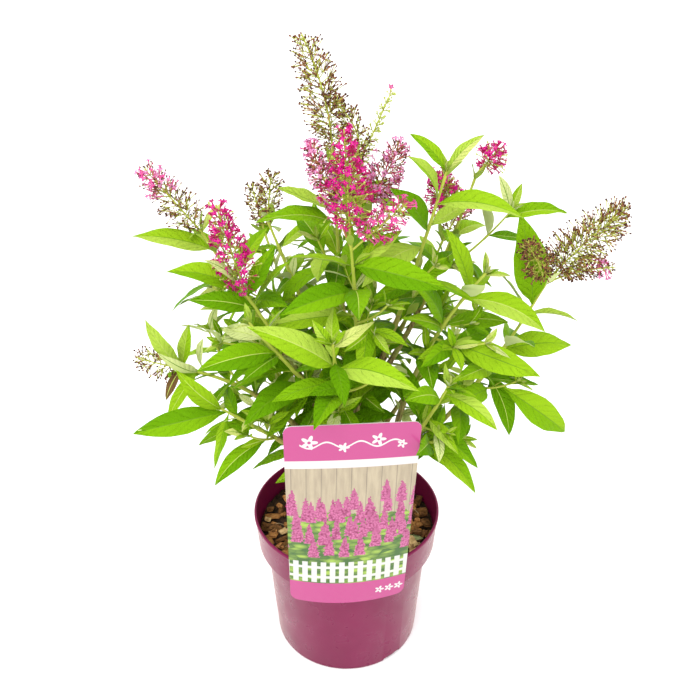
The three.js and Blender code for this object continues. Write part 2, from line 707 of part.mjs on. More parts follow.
/** The midrib of a leaf: where it runs, which way its blade faces and where its root is sunk. */
function bladePath(root, heading, side, droop, length) {
  const pointAt = (station) => {
    const steps = LEAF.bowSteps;
    const point = root.clone();
    const bent = new THREE.Vector3();
    for (let i = 0; i < steps; i += 1) {
      bent.copy(heading).applyAxisAngle(side, -radians(droop) * ((i + 0.5) / steps) * station);
      point.addScaledVector(bent, (length * station) / steps);
    }
    const end = heading.clone().applyAxisAngle(side, -radians(droop) * station);
    return { point, up: side.clone().cross(end).normalize() };
  };
  const sunkRoot = root.clone().addScaledVector(heading, -LEAF.rootDepth);
  return { root, sunkRoot, side, length, pointAt };
}

/** A leaf whose tip is set: the bow it takes between its place on the stem and that tip. */
function leafTo(arc, t, tip) {
  const root = arc.point(t);
  const chord = tip.clone().sub(root);
  const flat = Math.hypot(chord.x, chord.y) / chord.length();
  const droop = lerp(...LEAF.outerDroop, flat);
  const bow = radians(droop / 2);
  const length = (chord.length() * bow) / Math.sin(bow);
  const side = chord.clone().cross(facingOf(arc.tangent(t), LEAF.outerLight)).normalize();
  const heading = chord.normalize().applyAxisAngle(side, bow);
  return bladePath(root, heading, side, droop, length);
}

/** How long a leaf is for its age, from 0, the youngest, to 1, as a share of the shoot's leaf length. */
function grownShare(age) {
  const { young, rate, ripe } = PAIRS.growth;
  return 0.5 + 0.5 * Math.sin(Math.PI * Math.min(ripe, young + rate * age));
}

/** The leaf pairs along a stem: opposite, each pair a quarter turn on, older ones longer and lower. */
function leavesAlong(arc, first, last, shoot, seed) {
  const { jitter } = PAIRS;
  const random = seededRandom(seed);
  const leaves = [];
  for (let i = 0; i < shoot.pairs; i += 1) {
    const age = 1 - i / (shoot.pairs - 1);
    const t = lerp(first, last, 1 - age ** PAIRS.crowding);
    for (const half of [0, 180]) {
      const [turned, opened, bowed, twisted] = Array.from({ length: 4 }, () => random() * 2 - 1);
      leaves.push({
        arc,
        t,
        angle: shoot.roll + PAIRS.turn * i + half + jitter.angle * turned,
        spread: lerp(...PAIRS.spread, Math.sqrt(age)) + jitter.spread * opened,
        droop: lerp(...PAIRS.droop, age) + jitter.droop * bowed,
        twist: jitter.twist * twisted,
        length: shoot.leaf * grownShare(age) * (1 + jitter.length * opened),
      });
    }
  }
  return leaves;
}

/** The arc between two points whose middle hangs under their chord. */
function saggingArc(start, end, sag) {
  return new Arc(start, start.clone().lerp(end, 0.5).add(new THREE.Vector3(0, 0, -sag)), end);
}

/** Short side twigs in the axils of the older pairs, each with small pairs of its own. */
function twigsAlong(arc, first, last, limb, seed) {
  const random = seededRandom(seed);
  const twigs = [];
  for (let i = 0; i < limb.pairs - 2; i += 1) {
    const t = lerp(first, last, (i + TWIGS.offset) / (limb.pairs - 1));
    const half = random() < 0.5 ? 0 : 180;
    const angle = limb.roll + PAIRS.turn * i + half + lerp(-TWIGS.jitter, TWIGS.jitter, random());
    const reach = limb.leaf * lerp(...TWIGS.reach, random());
    if (random() >= TWIGS.chance) continue;
    const start = arc.point(t);
    const end = start.clone().addScaledVector(arc.across(t, angle), reach * TWIGS.outward)
      .addScaledVector(arc.tangent(t), reach * TWIGS.onward);
    const roll = TWIGS.firstRoll + PAIRS.turn * random();
    twigs.push({
      arc: saggingArc(start, end, reach * STEMS.twig.sag),
      pairs: TWIGS.pairs,
      leaf: limb.leaf * TWIGS.leafShare,
      roll,
    });
  }
  return twigs;
}

// ---------------------------------------------------------------- panicles

/** How full a panicle is along its length: soonest near the foot, drawn out to a point at the tip. */
function panicleSwell(share) {
  const { foot, rate, fall, blunt } = PANICLE.swell;
  return Math.min(1, foot + share * rate) * (1 - share ** fall) ** blunt;
}

/** A dense panicle: a spindle of whorls, each standing out from the gap under it. */
function whorledSpindle(arc, from, to, width, fullness) {
  const { sides, spacing, least, gap } = PANICLE.whorls;
  const span = arc.length() * (to - from);
  const steps = 2 * Math.max(least, Math.round(span / spacing));
  return limbAlong(arc, from, to, (share) => {
    const ring = Math.round(share * steps);
    if (ring === steps) return 0;
    return (width / 2) * fullness(share) * (ring % 2 === 1 ? 1 : gap);
  }, sides, steps);
}

/** A spent panicle: opposite pairs of small dry cymes standing off the bare rachis. */
function spentCymes(arc, from, to, width, random) {
  const { spacing, least, turn, crop, belly, girth } = PANICLE.cymes;
  const span = arc.length() * (to - from);
  const pairs = Math.max(least, Math.round(span / spacing));
  const cymes = [];
  for (let i = 0; i < pairs; i += 1) {
    const share = i / pairs;
    const t = lerp(from, to, share);
    for (const half of [0, 180]) {
      const reach = (width / 2) * panicleSwell(share * crop) * lerp(...PANICLE.cymes.reach, random());
      const outward = arc.across(t, turn + PAIRS.turn * i + half).multiplyScalar(PANICLE.cymes.outward)
        .addScaledVector(arc.tangent(t), PANICLE.cymes.onward).normalize();
      const radius = Math.min(reach * girth.share, girth.most);
      const side = outward.clone().cross(arc.tangent(t)).normalize();
      const other = outward.clone().cross(side);
      const root = arc.point(t);
      const corner = (k) => root.clone().addScaledVector(outward, reach * belly)
        .addScaledVector(side, radius * Math.cos(radians(120 * k)))
        .addScaledVector(other, radius * Math.sin(radians(120 * k)));
      const tip = root.clone().addScaledVector(outward, reach);
      cymes.push(skin([[root], [corner(0), corner(1), corner(2)], [tip]]));
    }
  }
  return cymes;
}

/** All the solids of one panicle: its rachis and its blossom or dry cymes. */
function makePanicle(panicle, start, seed) {
  const random = seededRandom(seed);
  const end = vector(panicle.to);
  const middle = panicle.via ? vector(panicle.via) : start.clone().lerp(end, 0.5);
  const arc = new Arc(start, middle, end);
  const { kind, width, bare = PANICLE.bareFoot } = panicle;
  const { cymes, turning } = PANICLE;
  const solids = [stemAlong(arc, 0, 1, STEMS.rachis)];
  if (kind === 'fresh' || kind === 'faded') solids.push(whorledSpindle(arc, bare, 1, width, panicleSwell));
  if (kind === 'spent' || kind === 'bare') {
    const dry = spentCymes(arc, bare, cymes.last, width, random);
    solids.push(...(kind === 'bare' ? dry.slice(0, cymes.onBare) : dry));
  }
  if (kind === 'turning') {
    const fullness = (share) => panicleSwell(lerp(turning.from, 1, share));
    solids.push(...spentCymes(arc, bare, turning.at, width, random));
    solids.push(whorledSpindle(arc, turning.at, 1, width, fullness));
  }
  return solids.map(solidOf);
}

// ---------------------------------------------------------------- masses of foliage

/** Whether two bounding boxes meet. */
function boxesMeet(a, b) {
  return [0, 1, 2].every((axis) => a.min[axis] <= b.max[axis] && b.min[axis] <= a.max[axis]);
}

/** Everything built so far that a new piece has to keep clear of. */
class Neighbours {
  constructor() {
    this.items = [];
  }

  add(solid, mass = 'none', isLeaf = false) {
    this.items.push({ solid, mass, isLeaf, box: solid.boundingBox() });
  }

  touch(solid, ignored) {
    const box = solid.boundingBox();
    return this.items.some((item) => !ignored(item)
      && boxesMeet(box, item.box) && !item.solid.intersect(solid).isEmpty());
  }
}

const neighbours = new Neighbours();

/** The blades a leaf may take, the wished one first. */
function bladeChoices(leaf) {
  return LEAF_CHOICES.map(({ turn, lift, size }) => leafAt(
    leaf.arc, leaf.t, leaf.angle + turn, leaf.spread - lift / 2, leaf.droop - lift, leaf.twist,
    leaf.length * size,
  ));
}

/** The stems of one mass: the main stem from the elbow on, and the shoots and twigs that it bears. */
function stemsOf(limb, arc, seed) {
  const { main, shoot: side, twig: small } = STEMS;
  const elbow = 0.5 + GAP / 2 / arc.length();
  const along = (at) => lerp(elbow, 1, at);
  const [first, last] = [along(main.bearing[0]), main.bearing[1]];
  const stems = [{ arc, along, first, last, shoot: limb, geometry: stemAlong(arc, elbow, 1, main) }];
  for (const shoot of limb.shoots) {
    const [root, end] = [arc.point(along(shoot.at)), vector(shoot.to)];
    const shootArc = saggingArc(root, end, side.sag * root.distanceTo(end));
    stems.push({
      arc: shootArc, along: (at) => at, first: side.bearing[0], last: side.bearing[1], shoot,
      geometry: stemAlong(shootArc, 0, 1, side),
    });
  }
  for (const twig of twigsAlong(arc, first, last, limb, seed + SEED_STEPS.twigs)) {
    stems.push({
      arc: twig.arc, along: (at) => at, first: small.bearing[0], last: small.bearing[1], shoot: twig,
      optional: true, geometry: stemAlong(twig.arc, 0, 1, small),
    });
  }
  return stems;
}

/** One mass of foliage: its framework of stems and panicles first, and then the leaves. */
class Mass {
  constructor({ limb, arc }, seed) {
    this.name = limb.name;
    this.seed = seed;
    this.solids = [];
    this.stems = [];
    this.isOwn = (item) => item.mass === this.name;
    this.isOwnStem = (item) => item.mass === this.name && !item.isLeaf;
    const stems = stemsOf(limb, arc, seed);
    for (const stem of stems) {
      const solid = solidOf(stem.geometry);
      if (stem.optional && neighbours.touch(solid, this.isOwn)) continue;
      this.add(solid);
      this.stems.push(stem);
    }
    for (const [i, panicle] of limb.panicles.entries()) {
      const foot = arc.point(stems[0].along(panicle.at));
      for (const solid of makePanicle(panicle, foot, seed + SEED_STEPS.panicles + i)) this.add(solid);
    }
  }

  add(solid, isLeaf = false) {
    neighbours.add(solid, this.name, isLeaf);
    this.solids.push(solid);
  }

  /** Adds the first of a leaf's blades that has room beside everything but the stems of this mass. */
  addLeaf(blades) {
    const blade = blades.find((choice) => !neighbours.touch(solidOf(roomOf(choice)), this.isOwnStem)
      && !neighbours.touch(solidOf(bladeOf(choice)), this.isOwn));
    if (blade) this.add(solidOf(bladeOf(blade)), true);
  }

  addOuterLeaves() {
    for (const { arc, along, shoot } of this.stems) {
      for (const [at, ...tip] of shoot.outer ?? []) this.addLeaf([leafTo(arc, along(at), vector(tip))]);
    }
  }

  addRuledLeaves() {
    for (const [i, { arc, first, last, shoot }] of this.stems.entries()) {
      const leaves = leavesAlong(arc, first, last, shoot, this.seed + SEED_STEPS.leaves * i);
      for (const leaf of leaves) this.addLeaf(bladeChoices(leaf));
    }
  }

  solid() {
    return largestPiece(wasm.Manifold.union(this.solids)).simplify(SHORTEST_EDGE);
  }
}

// ---------------------------------------------------------------- assembly

const bush = new THREE.Group();

function addMesh(name, solid, colour, roughness) {
  const material = new THREE.MeshStandardMaterial({ color: colour, roughness, metalness: 0 });
  const mesh = new THREE.Mesh(geometryOf(solid), material);
  mesh.name = name;
  bush.add(mesh);
}

const pot = makePot();
const medium = makeMedium();
const label = makeLabel();
const trunk = makeTrunk(0);
addMesh('pot', pot, COLOURS.pot, 0.45);
addMesh('growing_medium', medium, COLOURS.medium, 0.95);
addMesh('picture_label', label, COLOURS.label, 0.35);
addMesh('trunk', trunk, COLOURS.bark, 0.9);
for (const solid of [pot, medium, label, trunk]) neighbours.add(solid);

const ordered = [];
const waiting = [...LIMBS];
while (waiting.length > 0) {
  const next = waiting.findIndex((limb) => carriers.has(limb.from));
  const [limb] = waiting.splice(next, 1);
  const arc = arcOf(limb);
  carriers.set(limb.name, (at) => arc.point(at * 0.5));
  ordered.push({ limb, arc });
}

const keepOff = [makeTrunk(GAP)];
for (const { limb, arc } of ordered) {
  let bough = makeBough(arc, 0);
  for (const solid of keepOff) bough = bough.subtract(solid);
  bough = largestPiece(bough);
  keepOff.push(makeBough(arc, GAP));
  neighbours.add(bough);
  addMesh(`bough_${limb.name}`, bough, COLOURS.youngBark, 0.8);
}

const masses = ordered.map((grown, i) => new Mass(grown, SEED_STEPS.masses * (i + 1)));
for (const mass of masses) mass.addOuterLeaves();
for (const mass of masses) mass.addRuledLeaves();
for (const [i, mass] of masses.entries()) {
  addMesh(`foliage_${mass.name}`, mass.solid(), COLOURS.foliage[i % COLOURS.foliage.length], 0.6);
}

export default bush;
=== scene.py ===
"""Looks of the potted butterfly bush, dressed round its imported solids.

The plant grows again by the rule of its solids, leaf for leaf, and is carried on to finer twigs, young
leaves, florets and seed capsules. Lengths are millimetres in the row frame until a mesh is written.
"""
import logging
import math
from collections.abc import Callable, Sequence
from dataclasses import dataclass, field
from enum import Enum

import bpy
import numpy as np
from mathutils import Matrix, Vector, noise
from mathutils.kdtree import KDTree


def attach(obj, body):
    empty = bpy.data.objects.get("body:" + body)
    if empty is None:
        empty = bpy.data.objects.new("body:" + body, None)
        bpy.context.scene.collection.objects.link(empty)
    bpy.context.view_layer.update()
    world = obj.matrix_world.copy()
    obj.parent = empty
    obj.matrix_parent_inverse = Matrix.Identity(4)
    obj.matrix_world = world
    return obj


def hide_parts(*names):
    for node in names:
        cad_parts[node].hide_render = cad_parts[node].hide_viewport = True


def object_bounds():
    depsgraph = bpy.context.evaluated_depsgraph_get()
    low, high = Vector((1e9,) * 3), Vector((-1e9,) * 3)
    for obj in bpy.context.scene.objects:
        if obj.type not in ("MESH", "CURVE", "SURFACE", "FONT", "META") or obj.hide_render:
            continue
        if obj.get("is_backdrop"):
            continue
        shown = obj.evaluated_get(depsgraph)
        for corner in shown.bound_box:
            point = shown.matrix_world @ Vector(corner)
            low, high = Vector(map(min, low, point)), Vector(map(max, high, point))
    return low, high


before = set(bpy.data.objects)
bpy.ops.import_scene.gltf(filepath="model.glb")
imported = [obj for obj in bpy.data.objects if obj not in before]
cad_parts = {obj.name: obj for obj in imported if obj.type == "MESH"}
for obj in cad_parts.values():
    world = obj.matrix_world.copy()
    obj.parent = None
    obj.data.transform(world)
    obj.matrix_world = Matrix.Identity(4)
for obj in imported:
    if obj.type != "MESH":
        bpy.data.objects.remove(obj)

log = logging.getLogger("butterfly_bush")

MM = 0.001  # metres in a millimetre
GAP = 0.35  # clearance that touching solids keep
BODY = "root"
X_AXIS = np.array([1.0, 0.0, 0.0])
Z_AXIS = np.array([0.0, 0.0, 1.0])
PI = math.pi

Point = tuple[float, float, float]
Colour = tuple[float, float, float]
Piece, Material, Socket = bpy.types.Object, bpy.types.Material, bpy.types.NodeSocket
Random = np.random.Generator


# ---- sizes shared with the solids


@dataclass(frozen=True)
class PotSizes:
    """The nursery pot's sizes."""

    height: float = 157
    rim_radius: float = 95.2
    rim_inner: float = 92.6
    collar_height: float = 37
    collar_taper: float = 3.2
    collar_slope: float = 2.5
    lip_edge: float = 0.8
    body_top_radius: float = 83.8
    foot_radius: float = 76.3
    foot_chamfer: float = 1.2
    wall: float = 1.7
    floor: float = 5
    notch_count: int = 3
    notch_first: float = -51
    notch_size: Point = (18, 22, 7.2)
    drain_count: int = 5
    drain_radius: float = 5
    drain_ring: float = 46

    @property
    def ledge(self) -> float:
        """Height of the collar's lower edge."""
        return self.height - self.collar_height

    def medium_radius(self, level: float) -> float:
        """The radius of the growing medium inside the tapering collar."""
        share = (level - self.ledge - 1) / (self.collar_height - 1 - self.lip_edge)
        return self.rim_inner - self.collar_taper * (1 - share) - GAP


@dataclass(frozen=True)
class MediumSizes:
    """The growing medium's sizes, and the chips that stand proud in its solid."""

    surface: float = 136
    crown_radius: float = 62
    crown_drop: float = 0.8
    edge_drop: float = 3
    flat_radius: float = 16
    chip_count: int = 9
    chip_length: tuple[float, float] = (11, 24)
    chip_width: tuple[float, float] = (7, 13)
    chip_height: tuple[float, float] = (4, 7)
    chip_tilt: float = 14
    chip_sunk: float = 0.8
    clear_of_trunk: float = 16
    clear_of_pot: float = 3
    seed: int = 41
    golden_angle: float = 137.5


@dataclass(frozen=True)
class LabelSizes:
    """The picture label's sizes."""

    bottom: float = 119
    height: float = 202
    bottom_width: float = 108
    top_width: float = 115
    corner_radius: float = 7
    thickness: float = 0.9
    front: float = -97.8
    turn: float = 4.3
    lean: tuple[float, float] = (1, 6)
    sagitta: float = 10
    hook_width: float = 14
    hook_thickness: float = 1.2
    hook_drop: float = 17
    hook_inset: float = 3.4


@dataclass(frozen=True)
class TrunkSizes:
    """The trunk's line and radii."""

    foot: Point = (3, 2, 136.35)
    waist: Point = (6, 1, 172)
    top: Point = (8, -1, 214)
    foot_radius: float = 8.5
    top_radius: float = 5
    flare: float = 1.45
    flare_fade: float = 9


POT = PotSizes()
MEDIUM = MediumSizes()
LABEL = LabelSizes()
TRUNK = TrunkSizes()


class Stem(Enum):
    """Each kind of stem: its radii at foot and tip, and the part of it that bears leaves."""

    BOUGH = ((3.6, 2.3), (0.0, 0.0))
    MAIN = ((2.3, 1.0), (0.12, 0.985))
    SHOOT = ((1.35, 0.8), (0.34, 0.97))
    TWIG = ((0.9, 0.7), (0.5, 0.96))
    RACHIS = ((1.0, 0.5), (0.0, 0.0))

    @property
    def radii(self) -> tuple[float, float]:
        """Radius at the foot and at the tip."""
        return self.value[0]

    @property
    def bearing(self) -> tuple[float, float]:
        """Where the leaf pairs begin and end along the stem."""
        return self.value[1]


SHOOT_SAG = 0.07  # of a side shoot's length
TWIG_SAG = 0.06


@dataclass(frozen=True)
class LeafRule:
    """How a leaf leaves its stem, turns and bows."""

    bow_steps: int = 6
    light: Point = (0, -0.3, 0.8)
    outer_light: Point = (0, -1.3, 0.8)
    lowest_heading: float = -0.08
    outer_droop: tuple[float, float] = (12, 62)


@dataclass(frozen=True)
class PairRule:
    """How the leaf pairs follow each other along a stem; ranges run from young to old."""

    turn: float = 90
    crowding: float = 1.15
    spread: tuple[float, float] = (34, 70)
    droop: tuple[float, float] = (16, 52)
    young: float = -0.12
    rate: float = 0.96
    ripe: float = 0.62
    angle_jitter: float = 13
    spread_jitter: float = 7
    droop_jitter: float = 14
    twist_jitter: float = 14
    length_jitter: float = 0.09


@dataclass(frozen=True)
class TwigRule:
    """Side twigs in the axils of the older pairs."""

    chance: float = 0.32
    offset: float = 0.08
    jitter: float = 20
    reach: tuple[float, float] = (0.34, 0.5)
    outward: float = 0.72
    onward: float = 0.6
    pairs: int = 2
    leaf_share: float = 0.5
    first_roll: float = 40


LEAF = LeafRule()
PAIRS = PairRule()
TWIGS = TwigRule()
SEED_MASSES, SEED_LEAVES, SEED_TWIGS = 1000, 31, 500  # the steps between their seeds

# The turn, lift and size that a leaf takes in its solid where the wished place had no room.
LEAF_CHOICES = [
    (0, 0, 1), (16, 6, 1), (-16, 6, 1), (0, 20, 0.96), (26, -12, 0.92), (-26, -12, 0.92),
    (0, -22, 0.88), (32, 16, 0.82), (-32, 16, 0.82), (12, 30, 0.72), (-12, -30, 0.66),
]


class Kind(Enum):
    """How far a panicle has flowered."""

    FRESH = "fresh"
    FULL = "full"
    PINK = "pink"
    FADED = "faded"
    TURNING = "turning"
    SPENT = "spent"
    BARE = "bare"


@dataclass(frozen=True)
class Outer:
    """A leaf that sets the crown's outline: its place on the stem, its tip, and how its face is turned."""

    at: float
    tip: Point
    turn: float = 0
    wide: float = 1
    finish: int | None = None


@dataclass(frozen=True)
class Panicle:
    """One panicle: where it leaves its stem, its tip, its width and how dense it is for its kind."""

    kind: Kind
    at: float
    to: Point
    width: float
    bare: float = 0.16
    via: Point | None = None
    dense: float = 1


@dataclass(frozen=True)
class Shoot:
    """A side shoot: where it leaves the main stem, its tip and its leaves."""

    at: float
    to: Point
    leaf: float
    pairs: int
    roll: float
    outer: Sequence[Outer] = ()


@dataclass(frozen=True)
class Limb:
    """A bough from its carrier to its elbow, and the main stem of a mass of foliage beyond it."""

    name: str
    carrier: str
    at: float
    elbow: Point
    tip: Point
    leaf: float
    pairs: int
    roll: float
    outer: Sequence[Outer] = ()
    shoots: Sequence[Shoot] = ()
    panicles: Sequence[Panicle] = ()


LIMBS: list[Limb] = [
    Limb(
        "centre", "trunk", 0.98, (10, -25, 345), (4, -45, 459), leaf=80, pairs=5, roll=98,
        outer=[Outer(0.8, (81, -70, 429)), Outer(0.57, (-52, -75, 409))],
        shoots=[Shoot(0.3, (34, -62, 412), leaf=58, pairs=2, roll=70)],
        panicles=[
            Panicle(Kind.FRESH, 1, (-1, -36, 547), 66, dense=1.2),
            Panicle(Kind.PINK, 0.93, (48, -52, 494), 33, bare=0.3),
            Panicle(Kind.FADED, 0.95, (-27, -22, 530), 24, bare=0.42),
        ],
    ),
    Limb(
        "tall", "trunk", 0.93, (-2, 16, 352), (-11, 15, 506), leaf=74, pairs=4, roll=20,
        outer=[Outer(0.66, (-75, -20, 467))],
        shoots=[Shoot(0.34, (-24, -2, 446), leaf=66, pairs=3, roll=15)],
        panicles=[
            Panicle(Kind.SPENT, 1, (-34, 10, 609), 42, via=(-16, 12, 557)),
            Panicle(Kind.SPENT, 0.9, (-13, 10, 562), 24, bare=0.35, via=(11, 12, 524)),
            Panicle(Kind.FADED, 0.72, (45, 32, 519), 36, bare=0.4, via=(24, 26, 480)),
            Panicle(Kind.BARE, 0.8, (37, 30, 561), 16, bare=0.3, via=(10, 26, 503)),
        ],
    ),
    Limb(
        "tall_right", "tall", 0.34, (40, 2, 348), (84, 5, 504), leaf=72, pairs=4, roll=50,
        outer=[
            Outer(0.99, (51, -5, 536)), Outer(0.99, (112, 0, 534)), Outer(0.86, (48, -25, 523)),
            Outer(0.84, (146, -20, 471)), Outer(0.7, (35, -27, 498), wide=1.3, finish=0),
            Outer(0.62, (13, -45, 420)),
        ],
        shoots=[Shoot(0.4, (74, -26, 432), leaf=60, pairs=2, roll=40)],
    ),
    Limb(
        "right_back", "tall_right", 0.36, (70, 40, 360), (116, 50, 488), leaf=64, pairs=5, roll=50,
        shoots=[Shoot(0.32, (150, 44, 458), leaf=56, pairs=3, roll=96, outer=[
            Outer(0.97, (133, 35, 492)), Outer(0.9, (201, 45, 454)), Outer(0.97, (158, 52, 480)),
        ])],
        panicles=[
            Panicle(Kind.FULL, 1, (134, 55, 508), 34, bare=0.38, dense=1.1),
            Panicle(Kind.FULL, 0.74, (83, 46, 490), 44, bare=0.2, via=(90, 46, 466), dense=1.9),
        ],
    ),
    Limb(
        "right", "trunk", 0.74, (92, -26, 280), (178, 0, 408), leaf=72, pairs=5, roll=88,
        outer=[
            Outer(0.85, (143, -15, 475), -50, 1.25, 1), Outer(0.56, (203, -15, 351), wide=1.6),
            Outer(0.45, (90, -65, 342)), Outer(0.4, (150, -40, 270)),
        ],
        shoots=[Shoot(0.28, (150, -44, 330), leaf=60, pairs=2, roll=15, outer=[
            Outer(0.66, (207, -22, 262)),
        ])],
        panicles=[
            Panicle(Kind.SPENT, 1, (234, 0, 470), 50, bare=0.1, via=(204, 0, 440), dense=1.55),
            Panicle(Kind.SPENT, 0.96, (148, -36, 453), 30, bare=0.3, via=(163, -24, 430), dense=1.2),
            Panicle(Kind.TURNING, 0.98, (240, 10, 416), 18, bare=0.3, via=(206, 6, 413)),
        ],
    ),
    Limb(
        "right_middle", "right", 0.42, (66, -18, 330), (120, -16, 421), leaf=72, pairs=4, roll=78,
        outer=[
            Outer(0.8, (81, -30, 466)), Outer(0.72, (172, -35, 374)), Outer(0.44, (49, -42, 430)),
            Outer(0.4, (45, -58, 398)),
        ],
        shoots=[Shoot(0.3, (118, -52, 372), leaf=58, pairs=2, roll=0, outer=[
            Outer(0.4, (166, -60, 344)),
        ])],
    ),
    Limb(
        "lower_right", "right", 0.3, (56, -46, 262), (86, -76, 345), leaf=66, pairs=4, roll=30,
        outer=[Outer(0.9, (126, -95, 313)), Outer(0.82, (47, -105, 348)), Outer(0.55, (96, -90, 285))],
        shoots=[Shoot(0.16, (100, -66, 284), leaf=60, pairs=2, roll=60, outer=[
            Outer(0.25, (117, -75, 231)),
        ])],
    ),
    Limb(
        "front", "trunk", 0.82, (-4, -46, 300), (-10, -90, 392), leaf=66, pairs=4, roll=100,
        outer=[
            Outer(0.94, (23, -90, 411)), Outer(0.94, (-26, -85, 410)), Outer(0.65, (-75, -105, 414)),
            Outer(0.62, (57, -120, 366)), Outer(0.28, (-25, -125, 333)),
        ],
        shoots=[Shoot(0.3, (24, -84, 356), leaf=54, pairs=2, roll=30)],
    ),
    Limb(
        "lower_left", "trunk", 0.7, (-52, -44, 262), (-112, -52, 308), leaf=68, pairs=4, roll=84,
        outer=[
            Outer(0.95, (-144, -60, 351)), Outer(0.88, (-186, -70, 292)), Outer(0.86, (-117, -75, 258)),
        ],
        shoots=[Shoot(0.2, (-84, -80, 298), leaf=60, pairs=2, roll=55)],
    ),
    Limb(
        "far_left", "lower_left", 0.42, (-76, -12, 290), (-152, -20, 330), leaf=52, pairs=4, roll=6,
        outer=[
            Outer(0.96, (-173, -30, 384)), Outer(0.96, (-140, -10, 370)), Outer(0.8, (-161, -45, 290)),
        ],
        shoots=[Shoot(0.3, (-128, 12, 352), leaf=58, pairs=3, roll=50)],
        panicles=[
            Panicle(Kind.SPENT, 1, (-187, -22, 341), 34, bare=0.06),
        ],
    ),
    Limb(
        "left", "trunk", 0.88, (-64, 20, 330), (-131, 30, 444), leaf=68, pairs=5, roll=30,
        outer=[Outer(0.97, (-104, 25, 472)), Outer(0.82, (-190, 20, 441))],
        shoots=[Shoot(0.25, (-128, 50, 380), leaf=62, pairs=3, roll=10)],
        panicles=[
            Panicle(Kind.TURNING, 1, (-171, 26, 498), 38, bare=0.04),
        ],
    ),
    Limb(
        "left_front", "left", 0.5, (-50, -14, 335), (-94, -24, 418), leaf=63, pairs=4, roll=14,
        outer=[
            Outer(0.88, (-153, -22, 424)), Outer(0.82, (-58, -18, 447)), Outer(0.68, (-131, -42, 407)),
        ],
        shoots=[Shoot(0.3, (-106, -46, 370), leaf=58, pairs=2, roll=70)],
        panicles=[
            Panicle(Kind.FULL, 0.84, (-104, -30, 486), 44, bare=0.08),
        ],
    ),
    Limb(
        "left_back", "tall", 0.46, (-34, 34, 352), (-72, 50, 446), leaf=64, pairs=4, roll=0,
        panicles=[
            Panicle(Kind.SPENT, 1, (-67, 50, 487), 30, bare=0.1),
        ],
    ),
    Limb(
        "left_middle", "centre", 0.32, (-28, -32, 312), (-81, -52, 392), leaf=64, pairs=5, roll=74,
        outer=[Outer(0.62, (-123, -75, 358)), Outer(0.12, (-86, -85, 311))],
    ),
    Limb(
        "back", "trunk", 0.96, (8, 56, 332), (14, 96, 446), leaf=76, pairs=5, roll=10,
        shoots=[Shoot(0.35, (-18, 118, 404), leaf=60, pairs=3, roll=60)],
        panicles=[
            Panicle(Kind.FRESH, 1, (9, 114, 498), 40),
            Panicle(Kind.SPENT, 0.94, (-16, 112, 494), 22, bare=0.35),
        ],
    ),
    Limb(
        "back_right", "back", 0.44, (50, 66, 316), (98, 108, 408), leaf=74, pairs=5, roll=40,
        shoots=[Shoot(0.3, (120, 82, 366), leaf=62, pairs=2, roll=0)],
        panicles=[
            Panicle(Kind.TURNING, 1, (122, 128, 442), 32),
        ],
    ),
    Limb(
        "back_left", "back", 0.4, (-40, 66, 318), (-82, 108, 414), leaf=74, pairs=5, roll=60,
        shoots=[Shoot(0.3, (-112, 84, 370), leaf=62, pairs=2, roll=20)],
        panicles=[
            Panicle(Kind.SPENT, 1, (-94, 124, 456), 26),
        ],
    ),
    Limb(
        "lower_back_right", "trunk", 0.66, (58, 46, 256), (128, 86, 316), leaf=72, pairs=5, roll=84,
        shoots=[Shoot(0.25, (92, 122, 306), leaf=62, pairs=2, roll=20)],
    ),
    Limb(
        "lower_back_left", "trunk", 0.62, (-50, 48, 254), (-116, 84, 312), leaf=72, pairs=5, roll=80,
        shoots=[Shoot(0.25, (-86, 122, 306), leaf=62, pairs=2, roll=50)],
    ),
    Limb(
        "lower_back", "trunk", 0.78, (6, 66, 270), (6, 134, 344), leaf=72, pairs=5, roll=5,
        shoots=[Shoot(0.22, (36, 130, 300), leaf=62, pairs=2, roll=60)],
    ),
]


# ---- numbers and lines


class SeededRandom:
    """Numbers from 0 to 1 that are the same for the same seed, as the solids draw them."""

    mask = 0xFFFFFFFF

    def __init__(self, seed: int) -> None:
        """Start the row of numbers at a seed."""
        self.state = seed & self.mask

    def draw(self) -> float:
        """The next number.

        Returns:
            A number from 0 to 1.
        """
        self.state = (self.state + 0x6D2B79F5) & self.mask
        mixed = ((self.state ^ (self.state >> 15)) * (self.state | 1)) & self.mask
        mixed ^= (mixed + (((mixed ^ (mixed >> 7)) * (mixed | 61)) & self.mask)) & self.mask
        return ((mixed ^ (mixed >> 14)) & self.mask) / 4294967296


def lerp(low: float, high: float, share: float) -> float:
    """The value a share of the way from low to high."""
    return low + (high - low) * share


def unit(vector: np.ndarray) -> np.ndarray:
    """A vector, or each row of them, at length one."""
    return vector / np.linalg.norm(vector, axis=-1, keepdims=True)


def swung(vector: np.ndarray, axis: np.ndarray, degrees: float) -> np.ndarray:
    """A vector turned about a unit axis.

    Args:
        vector: What is turned.
        axis: The axis, of length one.
        degrees: The angle, by the right hand.

    Returns:
        The turned vector.
    """
    angle = math.radians(degrees)
    along = axis * np.dot(axis, vector) * (1 - math.cos(angle))
    return vector * math.cos(angle) + np.cross(axis, vector) * math.sin(angle) + along


